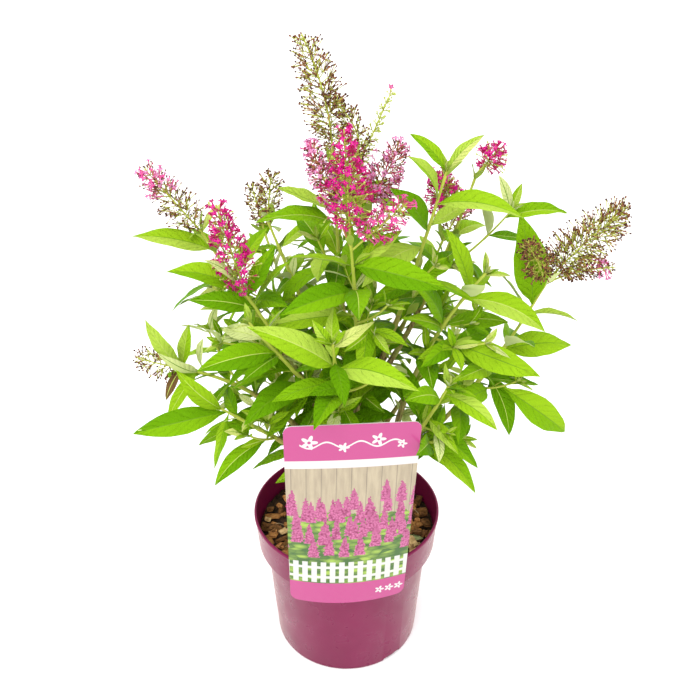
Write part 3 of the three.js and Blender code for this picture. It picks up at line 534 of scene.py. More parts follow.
class Arc:
    """The centre line of a limb: the parabola through its start, middle and end."""

    length_steps = 12

    def __init__(self, start: Sequence[float], middle: Sequence[float], end: Sequence[float]) -> None:
        """Lay the parabola through three points.

        Args:
            start: Where it starts.
            middle: Where it is halfway.
            end: Where it ends.
        """
        self.start, self.end = np.array(start, float), np.array(end, float)
        self.control = 2 * np.array(middle, float) - 0.5 * self.start - 0.5 * self.end
        chord = unit(self.end - self.start)
        self.reference = X_AXIS if abs(chord[0]) < 0.8 else Z_AXIS

    @classmethod
    def sagging(cls, start: np.ndarray, end: np.ndarray, sag: float) -> "Arc":
        """The arc between two points whose middle hangs under their chord."""
        return cls(start, (start + end) / 2 - sag * Z_AXIS, end)

    def point(self, t: float) -> np.ndarray:
        """The point at t, from 0 to 1."""
        u = 1 - t
        return self.start * u * u + self.control * 2 * u * t + self.end * t * t

    def tangent(self, t: float) -> np.ndarray:
        """The arc's own way at t."""
        return unit((self.control - self.start) * (1 - t) + (self.end - self.control) * t)

    def across(self, t: float, angle: float) -> np.ndarray:
        """The direction square to the arc at t that lies at an angle, in degrees, from its reference.

        Args:
            t: The place on it, from 0 to 1.
            angle: The angle round it, in degrees.

        Returns:
            The direction.
        """
        tangent = self.tangent(t)
        zero = unit(self.reference - tangent * np.dot(self.reference, tangent))
        turn = math.radians(angle)
        return zero * math.cos(turn) + np.cross(tangent, zero) * math.sin(turn)

    def length(self) -> float:
        """The arc's length, measured over short straight steps."""
        points = [self.point(i / self.length_steps) for i in range(self.length_steps + 1)]
        return sum(float(np.linalg.norm(b - a)) for a, b in zip(points, points[1:]))


# ---- leaves by the rule of the solids


@dataclass
class Blade:
    """The midrib of one leaf: it leaves its root along heading and bows about its side."""

    root: np.ndarray
    heading: np.ndarray
    side: np.ndarray
    droop: float
    length: float
    age: float = 0.5
    finish: int | None = None
    wide: float = 1

    def tip(self) -> np.ndarray:
        """The tip as the solids reckon it, in straight steps.

        Returns:
            The point.
        """
        steps = LEAF.bow_steps
        bent = [swung(self.heading, self.side, -self.droop * (i + 0.5) / steps) for i in range(steps)]
        return self.root + sum(bent) * self.length / steps

    @classmethod
    def leaving(
        cls, arc: Arc, t: float, angle: float, spread: float, droop: float, twist: float, length: float,
    ) -> "Blade":
        """A leaf that leaves its stem at a spread angle.

        Args:
            arc: The stem.
            t: Where on the stem.
            angle: Round the stem, in degrees.
            spread: Off the stem's own way, in degrees.
            droop: How far the blade bows, in degrees.
            twist: The turn of its face about its heading, in degrees.
            length: The leaf's length.

        Returns:
            The leaf's midrib.
        """
        stem = arc.tangent(t)
        opened = math.radians(spread)
        heading = stem * math.cos(opened) + arc.across(t, angle) * math.sin(opened)
        heading[2] = max(heading[2], LEAF.lowest_heading)
        heading = unit(heading)
        side = swung(unit(np.cross(heading, cls.facing(stem, LEAF.light))), heading, twist)
        return cls(arc.point(t), heading, side, droop, length)

    @classmethod
    def reaching(cls, arc: Arc, t: float, tip: Point, turn: float = 0) -> "Blade":
        """The leaf from a place on its stem whose tip is set, its face turned by some degrees.

        Args:
            arc: The stem's arc.
            t: The place on it, from 0 to 1.
            tip: Where the tip is to be.
            turn: How far the face is turned, in degrees.

        Returns:
            The leaf.
        """
        root = arc.point(t)
        chord = np.array(tip, float) - root
        span = float(np.linalg.norm(chord))
        droop = lerp(*LEAF.outer_droop, math.hypot(chord[0], chord[1]) / span)
        bow = math.radians(droop / 2)
        side = unit(np.cross(chord, cls.facing(arc.tangent(t), LEAF.outer_light)))
        side = swung(side, chord / span, turn)
        return cls(root, swung(chord / span, side, droop / 2), side, droop, span * bow / math.sin(bow))

    @staticmethod
    def facing(stem: np.ndarray, light: Point) -> np.ndarray:
        """The way a leaf turns its face: between its stem's own way and the light."""
        return unit(stem + np.array(light))


@dataclass
class GrownStem:
    """One stem of a mass: its arc, the part of it that shows, and what it bears."""

    arc: Arc
    kind: Stem
    start: float
    first: float
    last: float
    shoot: Limb | Shoot
    crowned: bool = False

    def along(self, at: float) -> float:
        """The place on the arc for a place on the stem."""
        return lerp(self.start, 1, at)

    def pair_places(self) -> list[tuple[float, float]]:
        """Where each leaf pair stands and its age, from 1, the oldest, to 0."""
        ages = [1 - i / (self.shoot.pairs - 1) for i in range(self.shoot.pairs)]
        return [(lerp(self.first, self.last, 1 - age**PAIRS.crowding), age) for age in ages]


@dataclass
class MassTips:
    """The corners of one mass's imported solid, by which its own leaves and twigs are known again."""

    node: str
    near: float = 0.1
    tree: KDTree = field(init=False)

    def __post_init__(self) -> None:
        """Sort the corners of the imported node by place."""
        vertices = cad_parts[self.node].data.vertices
        self.tree = KDTree(len(vertices))
        for vertex in vertices:
            self.tree.insert(vertex.co / MM, vertex.index)
        self.tree.balance()

    def has(self, point: np.ndarray) -> bool:
        """Whether a corner of the solid lies at a point."""
        return self.tree.find(point)[2] < self.near


class Growth:
    """The whole plant, grown by the rule of its solids: arcs, stems, leaves and panicles."""

    def __init__(self) -> None:
        """Grow every limb and its mass in the order of the solids."""
        self.trunk = Arc(TRUNK.foot, TRUNK.waist, TRUNK.top)
        self.arcs: dict[str, Arc] = {}
        self.stems: dict[str, list[GrownStem]] = {}
        self.blades: dict[str, list[Blade]] = {}
        self.crowded: dict[str, list[Blade]] = {}
        self.panicles: list[tuple[Panicle, Arc]] = []
        for limb in LIMBS:
            self.arcs[limb.name] = Arc(self.foot_of(limb), limb.elbow, limb.tip)
        for i, limb in enumerate(LIMBS):
            self.grow_mass(limb, SEED_MASSES * (i + 1))

    def foot_of(self, limb: Limb) -> np.ndarray:
        """The point of the trunk or bough that carries a limb.

        Args:
            limb: The limb.

        Returns:
            The point.
        """
        if limb.carrier == "trunk":
            return self.trunk.point(limb.at)
        return self.arcs[limb.carrier].point(limb.at * 0.5)

    def grow_mass(self, limb: Limb, seed: int) -> None:
        """Grow one mass of foliage.

        Args:
            limb: The limb whose mass it is.
            seed: Where its draws start.
        """
        tips = MassTips(f"foliage_{limb.name}")
        arc = self.arcs[limb.name]
        elbow = 0.5 + GAP / 2 / arc.length()
        first, last = lerp(elbow, 1, Stem.MAIN.bearing[0]), Stem.MAIN.bearing[1]
        stems = [GrownStem(arc, Stem.MAIN, elbow, first, last, limb, bool(limb.panicles))]
        for shoot in limb.shoots:
            root, end = arc.point(stems[0].along(shoot.at)), np.array(shoot.to, float)
            sag = SHOOT_SAG * float(np.linalg.norm(end - root))
            stems.append(GrownStem(Arc.sagging(root, end, sag), Stem.SHOOT, 0, *Stem.SHOOT.bearing, shoot))
        twigs = self.twigs_of(limb, stems[0], seed + SEED_TWIGS)
        stems += [twig for twig in twigs if self.stands(twig, tips)]
        blades, crowded = [], []
        for i, stem in enumerate(stems):
            for outer in stem.shoot.outer:
                blade = Blade.reaching(stem.arc, stem.along(outer.at), outer.tip, outer.turn)
                blade.age, blade.wide, blade.finish = 1 - outer.at, outer.wide, outer.finish
                blades.append(blade)
            for choices in self.leaves_of(stem, seed + SEED_LEAVES * i):
                blade = next((choice for choice in choices if tips.has(choice.tip())), None)
                (crowded if blade is None else blades).append(blade or choices[0])
        self.stems[limb.name], self.blades[limb.name], self.crowded[limb.name] = stems, blades, crowded
        for panicle in limb.panicles:
            start, end = arc.point(stems[0].along(panicle.at)), np.array(panicle.to, float)
            middle = (start + end) / 2 if panicle.via is None else panicle.via
            self.panicles.append((panicle, Arc(start, middle, end)))

    @staticmethod
    def stands(twig: GrownStem, tips: MassTips) -> bool:
        """Whether a twig had room in its solid: the corners of its end are there."""
        end, radius = twig.arc.point(1), Stem.TWIG.radii[1]
        return any(tips.has(end + radius * twig.arc.across(1, 120 * i)) for i in range(3))

    @staticmethod
    def twigs_of(limb: Limb, main: GrownStem, seed: int) -> list[GrownStem]:
        """The side twigs in the axils of the older pairs.

        Args:
            limb: The limb whose mass it is.
            main: Its main stem.
            seed: Where the twigs' draws start.

        Returns:
            Every twig that the draws give, whether it had room or not.
        """
        random, twigs = SeededRandom(seed), []
        for i in range(limb.pairs - 2):
            t = lerp(main.first, main.last, (i + TWIGS.offset) / (limb.pairs - 1))
            half = 0 if random.draw() < 0.5 else 180
            angle = limb.roll + PAIRS.turn * i + half + lerp(-TWIGS.jitter, TWIGS.jitter, random.draw())
            reach = limb.leaf * lerp(*TWIGS.reach, random.draw())
            if random.draw() >= TWIGS.chance:
                continue
            start = main.arc.point(t)
            end = start + main.arc.across(t, angle) * reach * TWIGS.outward
            end = end + main.arc.tangent(t) * reach * TWIGS.onward
            roll = TWIGS.first_roll + PAIRS.turn * random.draw()
            shoot = Shoot(0, (0, 0, 0), limb.leaf * TWIGS.leaf_share, TWIGS.pairs, roll)
            arc = Arc.sagging(start, end, reach * TWIG_SAG)
            twigs.append(GrownStem(arc, Stem.TWIG, 0, *Stem.TWIG.bearing, shoot))
        return twigs

    @staticmethod
    def leaves_of(stem: GrownStem, seed: int) -> list[list[Blade]]:
        """The leaf pairs along a stem, each leaf with all the places that its solid may have given it.

        Args:
            stem: The stem.
            seed: The seed of its draws.

        Returns:
            The choices for each leaf, from the oldest pair on.
        """
        random, leaves = SeededRandom(seed), []
        for i, (t, age) in enumerate(stem.pair_places()):
            for half in (0, 180):
                turned, opened, bowed, twisted = (random.draw() * 2 - 1 for _ in range(4))
                angle = stem.shoot.roll + PAIRS.turn * i + half + PAIRS.angle_jitter * turned
                spread = lerp(*PAIRS.spread, math.sqrt(age)) + PAIRS.spread_jitter * opened
                droop = lerp(*PAIRS.droop, age) + PAIRS.droop_jitter * bowed
                phase = min(PAIRS.ripe, PAIRS.young + PAIRS.rate * age)
                grown = 0.5 + 0.5 * math.sin(PI * phase)
                length = stem.shoot.leaf * grown * (1 + PAIRS.length_jitter * opened)
                twist = PAIRS.twist_jitter * twisted
                choices = [
                    Blade.leaving(
                        stem.arc, t, angle + turn, spread - lift / 2, droop - lift, twist, length * size,
                    )
                    for turn, lift, size in LEAF_CHOICES
                ]
                for choice in choices:
                    choice.age = age
                leaves.append(choices)
        return leaves


# ---- joined meshes


@dataclass(frozen=True)
class Template:
    """A small closed shape that is copied many times: its points, faces and the finish of each face."""

    points: np.ndarray
    faces: tuple[tuple[int, ...], ...]
    kinds: tuple[int, ...]
    uv: np.ndarray | None = None

    @property
    def loops(self) -> np.ndarray:
        """The corners of all faces, one after the other."""
        return np.array([corner for face in self.faces for corner in face], np.int64)

    @property
    def sizes(self) -> np.ndarray:
        """How many corners each face has."""
        return np.array([len(face) for face in self.faces], np.int64)


class Batch:
    """Many small things gathered into one mesh."""

    def __init__(self) -> None:
        """Start with nothing."""
        self.points: list[np.ndarray] = []
        self.loops: list[np.ndarray] = []
        self.sizes: list[np.ndarray] = []
        self.kinds: list[np.ndarray] = []
        self.uv: list[np.ndarray] = []
        self.count = 0

    def add(self, template: Template, points: np.ndarray, kinds: np.ndarray | None = None) -> None:
        """Add copies of a template.

        Args:
            template: The faces that every copy has.
            points: The points of each copy, as (copies, points, 3), in millimetres.
            kinds: The finish of each face of each copy, or None for the template's own.
        """
        copies, size = points.shape[0], points.shape[1]
        if copies == 0:
            return
        starts = (np.arange(copies) * size + self.count)[:, None]
        self.points.append(points.reshape(-1, 3))
        self.loops.append((template.loops[None, :] + starts).ravel())
        self.sizes.append(np.tile(template.sizes, copies))
        own = np.tile(np.array(template.kinds), copies)
        self.kinds.append(own if kinds is None else np.asarray(kinds).ravel())
        uv = np.zeros((size, 2)) if template.uv is None else template.uv
        self.uv.append(np.tile(uv[template.loops], (copies, 1)))
        self.count += copies * size

    def piece(self, name: str, materials: Sequence[Material], smooth: bool = True) -> Piece:
        """Write the mesh.

        Args:
            name: The new piece's name.
            materials: Its finishes, in the order of the faces' kinds.
            smooth: Whether its faces are shaded smooth.

        Returns:
            The piece, with its place in its mesh.
        """
        mesh = bpy.data.meshes.new(name)
        points, loops = np.concatenate(self.points) * MM, np.concatenate(self.loops)
        sizes, kinds = np.concatenate(self.sizes), np.concatenate(self.kinds)
        mesh.vertices.add(len(points))
        mesh.vertices.foreach_set("co", points.ravel())
        mesh.loops.add(len(loops))
        mesh.loops.foreach_set("vertex_index", loops.astype(np.int32))
        mesh.polygons.add(len(sizes))
        starts = np.concatenate([[0], np.cumsum(sizes)[:-1]])
        mesh.polygons.foreach_set("loop_start", starts.astype(np.int32))
        mesh.polygons.foreach_set("material_index", kinds.astype(np.int32))
        mesh.polygons.foreach_set("use_smooth", np.full(len(sizes), smooth))
        mesh.uv_layers.new(name="UVMap")
        mesh.uv_layers[0].data.foreach_set("uv", np.concatenate(self.uv).ravel())
        for material in materials:
            mesh.materials.append(material)
        mesh.update(calc_edges=True)
        mesh.validate()
        piece = bpy.data.objects.new(name, mesh)
        bpy.context.scene.collection.objects.link(piece)
        return piece


def tube(
    arc: Arc, span: tuple[float, float], radius: Callable[[float], float], sides: int, steps: int,
    relief: Callable[[np.ndarray], float] | None = None,
) -> tuple[Template, np.ndarray]:
    """A closed round stem along part of an arc.

    Args:
        arc: The centre line.
        span: The part of the arc that it covers.
        radius: The radius at a share of that part.
        sides: Facets round the stem.
        steps: Rings along it.
        relief: How far the skin stands out at a point, or None for a plain one.

    Returns:
        The stem's faces and its points.
    """
    rings = []
    for k in range(steps + 1):
        t = lerp(*span, k / steps)
        centre = arc.point(t)
        for i in range(sides):
            out = arc.across(t, 360 * i / sides)
            place = centre + out * radius(k / steps)
            rings.append(place + out * relief(place) if relief else place)
    faces = []
    for k in range(steps):
        for i in range(sides):
            j = (i + 1) % sides
            faces.append((k * sides + i, k * sides + j, (k + 1) * sides + j, (k + 1) * sides + i))
    faces.append(tuple(range(sides))[::-1])
    faces.append(tuple(range(steps * sides, (steps + 1) * sides)))
    shape = Template(np.array(rings), tuple(faces), (0,) * len(faces), np.zeros((len(rings), 2)))
    return shape, shape.points[None]


def frames_along(out: np.ndarray, roll: np.ndarray) -> np.ndarray:
    """Turned frames whose third axis points outwards.

    Args:
        out: The outward way of each frame, as rows of length one.
        roll: The turn of each frame about it, in radians.

    Returns:
        One matrix for each, its rows being its three axes.
    """
    helper = np.where(np.abs(out[:, 2:3]) < 0.9, Z_AXIS, X_AXIS)
    first = unit(np.cross(helper, out))
    second = np.cross(out, first)
    cosine, sine = np.cos(roll)[:, None], np.sin(roll)[:, None]
    return np.stack([first * cosine + second * sine, second * cosine - first * sine, out], axis=1)


def placed(template: Template, origin: np.ndarray, frames: np.ndarray, scale: np.ndarray) -> np.ndarray:
    """A template's points at each origin, turned by each frame and scaled."""
    return origin[:, None, :] + np.einsum("nk,mkj->mnj", template.points, frames) * scale[:, None, None]


# ---- finishes


class Slot(Enum):
    """The record's material slots."""

    POT = "pot_plastic"
    MEDIUM = "growing_medium"
    LABEL = "label_card"
    BARK = "bark"
    BOUGH = "bough_bark"
    FOLIAGE = "foliage"


class Shader:
    """A node tree with one surface shader, and short ways to add to it."""

    def __init__(self, name: str, colour: Colour, roughness: float, **sockets: float) -> None:
        """Start a material with numbers that are the same all over.

        Args:
            name: The material's name.
            colour: Its plain colour, in linear light.
            roughness: Its plain roughness.
            sockets: Further shader sockets, with underscores for their spaces.
        """
        self.material = bpy.data.materials.new(name)
        self.material.use_nodes = True
        self.material.diffuse_color = (*colour, 1)
        self.nodes = self.material.node_tree.nodes
        self.shader = self.nodes["Principled BSDF"]
        self.shader.inputs["Base Color"].default_value = (*colour, 1)
        self.shader.inputs["Roughness"].default_value = roughness
        for socket, value in sockets.items():
            self.shader.inputs[socket.replace("_", " ")].default_value = value

    def node(
        self, kind: str, inputs: dict[str | int, object] | None = None, **settings: object,
    ) -> bpy.types.Node:
        """Add a node.

        Args:
            kind: The node's type, without its ShaderNode prefix.
            inputs: What goes into its sockets: a plain value, or the output of another node.
            settings: The node's own settings.

        Returns:
            The new node.
        """
        node = self.nodes.new("ShaderNode" + kind)
        for key, value in settings.items():
            setattr(node, key, value)
        for key, value in (inputs or {}).items():
            self.feed(node.inputs[key], value)
        return node

    def feed(self, socket: Socket, value: object) -> None:
        """Set a socket, or link it where the value is another node's output.

        Args:
            socket: The socket to fill.
            value: A plain value, or the output of another node.
        """
        if isinstance(value, Socket):
            self.material.node_tree.links.new(value, socket)
        else:
            socket.default_value = value

    def math(self, operation: str, *values: object) -> Socket:
        """The result of a sum on numbers or outputs."""
        return self.node("Math", dict(enumerate(values)), operation=operation).outputs[0]

    def plus(self, first: object, second: object) -> Socket:
        """The sum of two values."""
        return self.math("ADD", first, second)

    def minus(self, first: object, second: object) -> Socket:
        """The difference of two values."""
        return self.math("SUBTRACT", first, second)

    def times(self, first: object, second: object) -> Socket:
        """The product of two values."""
        return self.math("MULTIPLY", first, second)

    def away(self, value: object, middle: object) -> Socket:
        """How far a value is from a middle, either way."""
        return self.math("ABSOLUTE", self.minus(value, middle))

    def mix(self, share: object, first: object, second: object) -> Socket:
        """A colour between two others.

        Args:
            share: The share of the second.
            first: The first colour.
            second: The second colour.

        Returns:
            The colour.
        """
        colours = [(*value, 1) if isinstance(value, tuple) else value for value in (first, second)]
        node = self.node("Mix", data_type="RGBA")
        for socket, value in zip((node.inputs[0], node.inputs[6], node.inputs[7]), (share, *colours)):
            self.feed(socket, value)
        return node.outputs[2]

    def between(self, value: object, low: float, high: float, soft: float = 0.2) -> Socket:
        """One where a value lies between two limits, and zero beyond them."""
        above = self.ramp(value, low - soft, low + soft)
        return self.minus(above, self.ramp(value, high - soft, high + soft))

    def ramp(self, value: object, low: float, high: float, to: tuple[float, float] = (0, 1)) -> Socket:
        """A value carried from one range to another, and held at its ends."""
        sockets = dict(enumerate((value, low, high, *to)))
        return self.node("MapRange", sockets).outputs[0]

    def place(self) -> Socket:
        """The point on the piece, in metres."""
        return self.node("TexCoord").outputs["Object"]

    def printed(self) -> tuple[Socket, Socket]:
        """The place across and along the piece's own UV map."""
        split = self.node("SeparateXYZ", {0: self.node("UVMap", uv_map="UVMap").outputs[0]})
        return split.outputs[0], split.outputs[1]

    def cells(self, scale: float, place: Socket, **settings: object) -> bpy.types.Node:
        """Cells of a scale round scattered points."""
        return self.node("TexVoronoi", {"Vector": place, "Scale": scale}, **settings)

    def noise(self, scale: float, detail: float = 3, place: Socket | None = None) -> Socket:
        """Soft noise of a scale, in turns a metre."""
        sockets = {"Vector": place or self.place(), "Scale": scale, "Detail": detail}
        return self.node("TexNoise", sockets).outputs["Fac"]

    def colour(self, value: object) -> None:
        """Give the surface a colour that changes from place to place."""
        self.feed(self.shader.inputs["Base Color"], value)

    def roughness(self, value: object) -> None:
        """Give the surface a roughness that changes from place to place."""
        self.feed(self.shader.inputs["Roughness"], value)

    def bump(self, height: object, distance: float, strength: float = 1) -> None:
        """Raise the surface, over any bump that it has already.

        Args:
            height: The height, or where it comes from.
            distance: How far a height of one stands out, in metres.
            strength: The share of it that is used.
        """
        bump = self.node("Bump", {"Height": height, "Distance": distance, "Strength": strength})
        normal = self.shader.inputs["Normal"]
        if normal.links:
            self.feed(bump.inputs["Normal"], normal.links[0].from_socket)
        self.feed(normal, bump.outputs[0])


@dataclass(frozen=True)
class LeafFinish:
    """The face of a leaf: its colour, its gloss and the depth of its netted veins."""

    name: str
    colour: Colour
    roughness: float = 0.5
    veins: float = 0.0006
    pairs_of_veins: float = 9
    vein_slant: float = 3.2
    vein_waver: float = 1.6
    mesh_scale: float = 450
    mesh_depth: float = 0.0003

    def make(self) -> Material:
        """Make the material.

        Returns:
            The material.
        """
        shader = Shader(self.name, self.colour, self.roughness, Specular_IOR_Level=0.025)
        across, along = shader.printed()
        place = shader.times(along, self.pairs_of_veins)
        place = shader.minus(place, shader.times(shader.away(across, 0.5), self.vein_slant))
        place = shader.plus(place, shader.times(shader.noise(60), self.vein_waver))
        crest = shader.away(shader.math("SINE", shader.times(place, PI)), 0.0)
        shader.bump(shader.math("POWER", crest, 0.35), self.veins)
        mesh = shader.cells(self.mesh_scale, shader.place(), feature="DISTANCE_TO_EDGE")
        shader.bump(shader.ramp(mesh.outputs["Distance"], 0, 0.2), self.mesh_depth)
        gloss = (self.roughness - 0.08, self.roughness + 0.1)
        shader.roughness(shader.ramp(shader.noise(160), 0.3, 0.7, gloss))
        return shader.material


@dataclass(frozen=True)
class SoftFinish:
    """A soft or dry surface of one colour with a fine grain: petals, stalks and seed capsules."""

    name: str
    colour: Colour
    roughness: float = 0.6
    grain: float = 1500
    depth: float = 0.00008
    specular: float = 0.3

    def make(self) -> Material:
        """Make the material.

        Returns:
            The material.
        """
        shader = Shader(self.name, self.colour, self.roughness, Specular_IOR_Level=self.specular)
        shader.bump(shader.noise(self.grain), self.depth)
        return shader.material


@dataclass(frozen=True)
class BarkFinish:
    """Bark that is grey-brown in its furrows and warmer on its ridges, greener on young wood."""

    name: str
    furrow: Colour
    ridge: Colour
    tint: Colour
    tint_share: float = 0.3

    def make(self) -> Material:
        """Make the material.

        Returns:
            The material.
        """
        shader = Shader(self.name, self.ridge, 0.85, Specular_IOR_Level=0.2)
        drawn = shader.node("Mapping", {"Vector": shader.place(), "Scale": (1, 1, 0.22)}).outputs[0]
        fibre = shader.noise(700, 6, drawn)
        blotch = shader.noise(90, 3)
        wood = shader.mix(shader.ramp(fibre, 0.38, 0.62), self.furrow, self.ridge)
        share = shader.ramp(blotch, 0.45, 0.65, (0, self.tint_share))
        shader.colour(shader.mix(share, wood, self.tint))
        shader.bump(fibre, 0.0012)
        return shader.material


LEAF_TOPS = [
    LeafFinish("leaf_deep_green", (0.105, 0.258, 0.002)),
    LeafFinish("leaf_mid_green", (0.165, 0.342, 0.004)),
    LeafFinish("leaf_fresh_green", (0.240, 0.420, 0.010)),
    LeafFinish("leaf_bright_green", (0.340, 0.490, 0.052)),
    LeafFinish("leaf_lime", (0.50, 0.56, 0.15)),
    # The grey-green is partly a real pale felted face and partly painted sheen.
    LeafFinish("leaf_grey_green_felt_and_painted_sheen", (0.55, 0.62, 0.24), 0.6),
    LeafFinish("leaf_withered", (0.15, 0.085, 0.030), 0.7),
]
PALE, WITHERED = 5, 6
LEAF_RIBS = [
    SoftFinish("midrib_green", (0.120, 0.240, 0.008), 0.5, specular=0.1),
    SoftFinish("midrib_pale", (0.40, 0.49, 0.10), 0.5, specular=0.1),
]
LEAF_UNDERS = [
    SoftFinish("leaf_underside", (0.33, 0.44, 0.07), 0.7, specular=0.05),
    SoftFinish("leaf_underside_pale", (0.56, 0.63, 0.28), 0.75, specular=0.05),
]
LEAF_FINISHES = [*LEAF_TOPS, *LEAF_RIBS, *LEAF_UNDERS]
# The other half of a leaf's face is a kind of its own, so that it can take a lighter or darker tone as
# painted light and shade on a folded leaf.
TOP, RIB, UNDER, OTHER_HALF_PAINTED_LIGHT = 0, 1, 2, 3  # the kinds of face on a leaf: its halves, midrib and underside


# ---- leaves


@dataclass(frozen=True)
class LeafNet:
    """The faces of one leaf: rows from its root to its tip, and columns from edge to edge."""

    rows: int
    columns: tuple[float, ...]
    stalk: float = 0.06
    width: tuple[float, float] = (0.124, 0.158)
    teeth: float = 0.008
    thickness: float = 0.35
    fold: tuple[float, float] = (0.06, 0.5)
    roll: tuple[float, float] = (0.04, 0.3)
    twist: float = 0.7
    bow: float = 0.045

    def template(self) -> Template:
        """The closed net: a face with its midrib, and an underside that shares its edges.

        Returns:
            The shape.
        """
        wide = len(self.columns)
        rib = wide // 2 - 1
        faces: list[tuple[int, ...]] = []
        kinds: list[int] = []
        tip = 1 + (self.rows - 1) * (wide + 1)
        row_of = [[0] * (wide + 1)]
        row_of += [[1 + k * (wide + 1) + j for j in range(wide + 1)] for k in range(self.rows - 1)]
        row_of.append([tip] * (wide + 1))
        for here, ahead in zip(row_of, row_of[1:]):
            strips = [(here[j], here[j + 1], ahead[j + 1], ahead[j]) for j in range(wide - 1)]
            strips.append((here[0], ahead[0], ahead[wide], here[wide]))
            strips.append((here[wide], ahead[wide], ahead[wide - 1], here[wide - 1]))
            for j, strip in enumerate(strips):
                faces.append(tuple(dict.fromkeys(strip)))
                kinds.append(UNDER if j >= wide - 1 else RIB if j == rib else TOP if j < rib else OTHER_HALF_PAINTED_LIGHT)
        uv = [(0.5, 0.0)]
        for k in range(1, self.rows):
            uv += [((column + 1) / 2, k / self.rows) for column in (*self.columns, 0)]
        return Template(np.zeros((tip + 1, 3)), tuple(faces), tuple(kinds), np.array([*uv, (0.5, 1.0)]))

    def points(self, blades: Sequence[Blade], random: Random) -> np.ndarray:
        """Shape a leaf over each midrib.

        Args:
            blades: The midribs.
            random: Where the leaves' own folds, twists and waves come from.

        Returns:
            The points of every leaf, as (leaves, points, 3).
        """
        count = len(blades)
        station = np.arange(1, self.rows) / self.rows
        parts = ("root", "heading", "side")
        root, heading, side = (np.array([getattr(blade, part) for blade in blades]) for part in parts)
        length = np.array([b.length for b in blades])[:, None]
        droop = np.radians(np.maximum(1, [b.droop for b in blades]))[:, None]
        bent = np.cross(side, heading)

        def draw(low: float, high: float) -> np.ndarray:
            """A number for each leaf."""
            return random.uniform(low, high, (count, 1))

        slant = 0.02 * np.sin(PI * station) ** 0.8
        flip = np.where(np.arange(1, self.rows) % 2, 1.0, -1.0)
        shape = np.clip((station - self.stalk) / (1 - self.stalk), 0.004, 1)
        profile = shape**0.85 * (1 - shape) ** 1.25 / 0.2424
        wide = np.array([b.wide for b in blades])[:, None]
        half = length * wide * draw(*self.width) * profile[None, :]
        half = half * (1 + self.teeth * flip[None, :]) + self.thickness
        fold, roll = draw(*self.fold), draw(*self.roll)
        twist = draw(-self.twist, self.twist) * (station[None, :] - 0.1)
        bow = draw(-self.bow, self.bow) * np.sin(PI * station)[None, :]
        wave, turns, phase = draw(0.2, 1.0) * length / 80, draw(2.0, 3.6), draw(0, 6.28)

        def along(at: np.ndarray) -> tuple[np.ndarray, ...]:
            """Points on the midrib, and the ways ahead, aside and up there."""
            angle = (droop * at)[..., None]
            ahead = heading[:, None] * np.cos(angle) - bent[:, None] * np.sin(angle)
            run = heading[:, None] * np.sin(angle) - bent[:, None] * (1 - np.cos(angle))
            spot = root[:, None] + run * (length / droop)[..., None]
            up = np.cross(np.broadcast_to(side[:, None], ahead.shape), ahead)
            return spot, ahead, up

        rows = []
        for column in (*self.columns, None):
            v = 0.0 if column is None else column
            spot, _, up = along(np.clip(station + slant * abs(v), 0, 1)[None, :].repeat(count, 0))
            spot = spot + side[:, None] * (length * bow)[..., None]
            turned = twist[..., None]
            aside = side[:, None] * np.cos(turned) - up * np.sin(turned)
            lifted = up * np.cos(turned) + side[:, None] * np.sin(turned)
            height = half * (fold * abs(v) - roll * abs(v) ** 3)
            swing = turns * station[None, :] * 6.28 + phase + (2.1 if v < 0 else 0)
            height = height + wave * v * v * np.sin(swing)
            if column is None:
                height = height - self.thickness - 0.5 * (1 - station[None, :])
            rows.append(spot + aside * (half * v)[..., None] + lifted * height[..., None])
        middle = np.stack(rows, axis=2).reshape(count, -1, 3)
        ends = [along(np.full((count, 1), at))[0] for at in (0.0, 1.0)]
        base = ends[0] - heading[:, None] * 0.4
        return np.concatenate([base, middle, ends[1]], axis=1)


# Leaves that turn a pale face forward, their grey-green partly a real felted face and partly painted sheen,
# and the dry one: their mass, place on its stem, tip and finish.
ODD_LEAVES = (
    ("far_left", 0.8, (-162, -46, 360), PALE), ("left_front", 0.98, (-113, -52, 447), PALE),
    ("far_left", 0.97, (-166, -24, 298), WITHERED),
)
LEAF_NET = LeafNet(12, (-1, -0.5, -0.035, 0.035, 0.5, 1))
SMALL_LEAF_NET = LeafNet(7, (-1, -0.08, 0.08, 1))


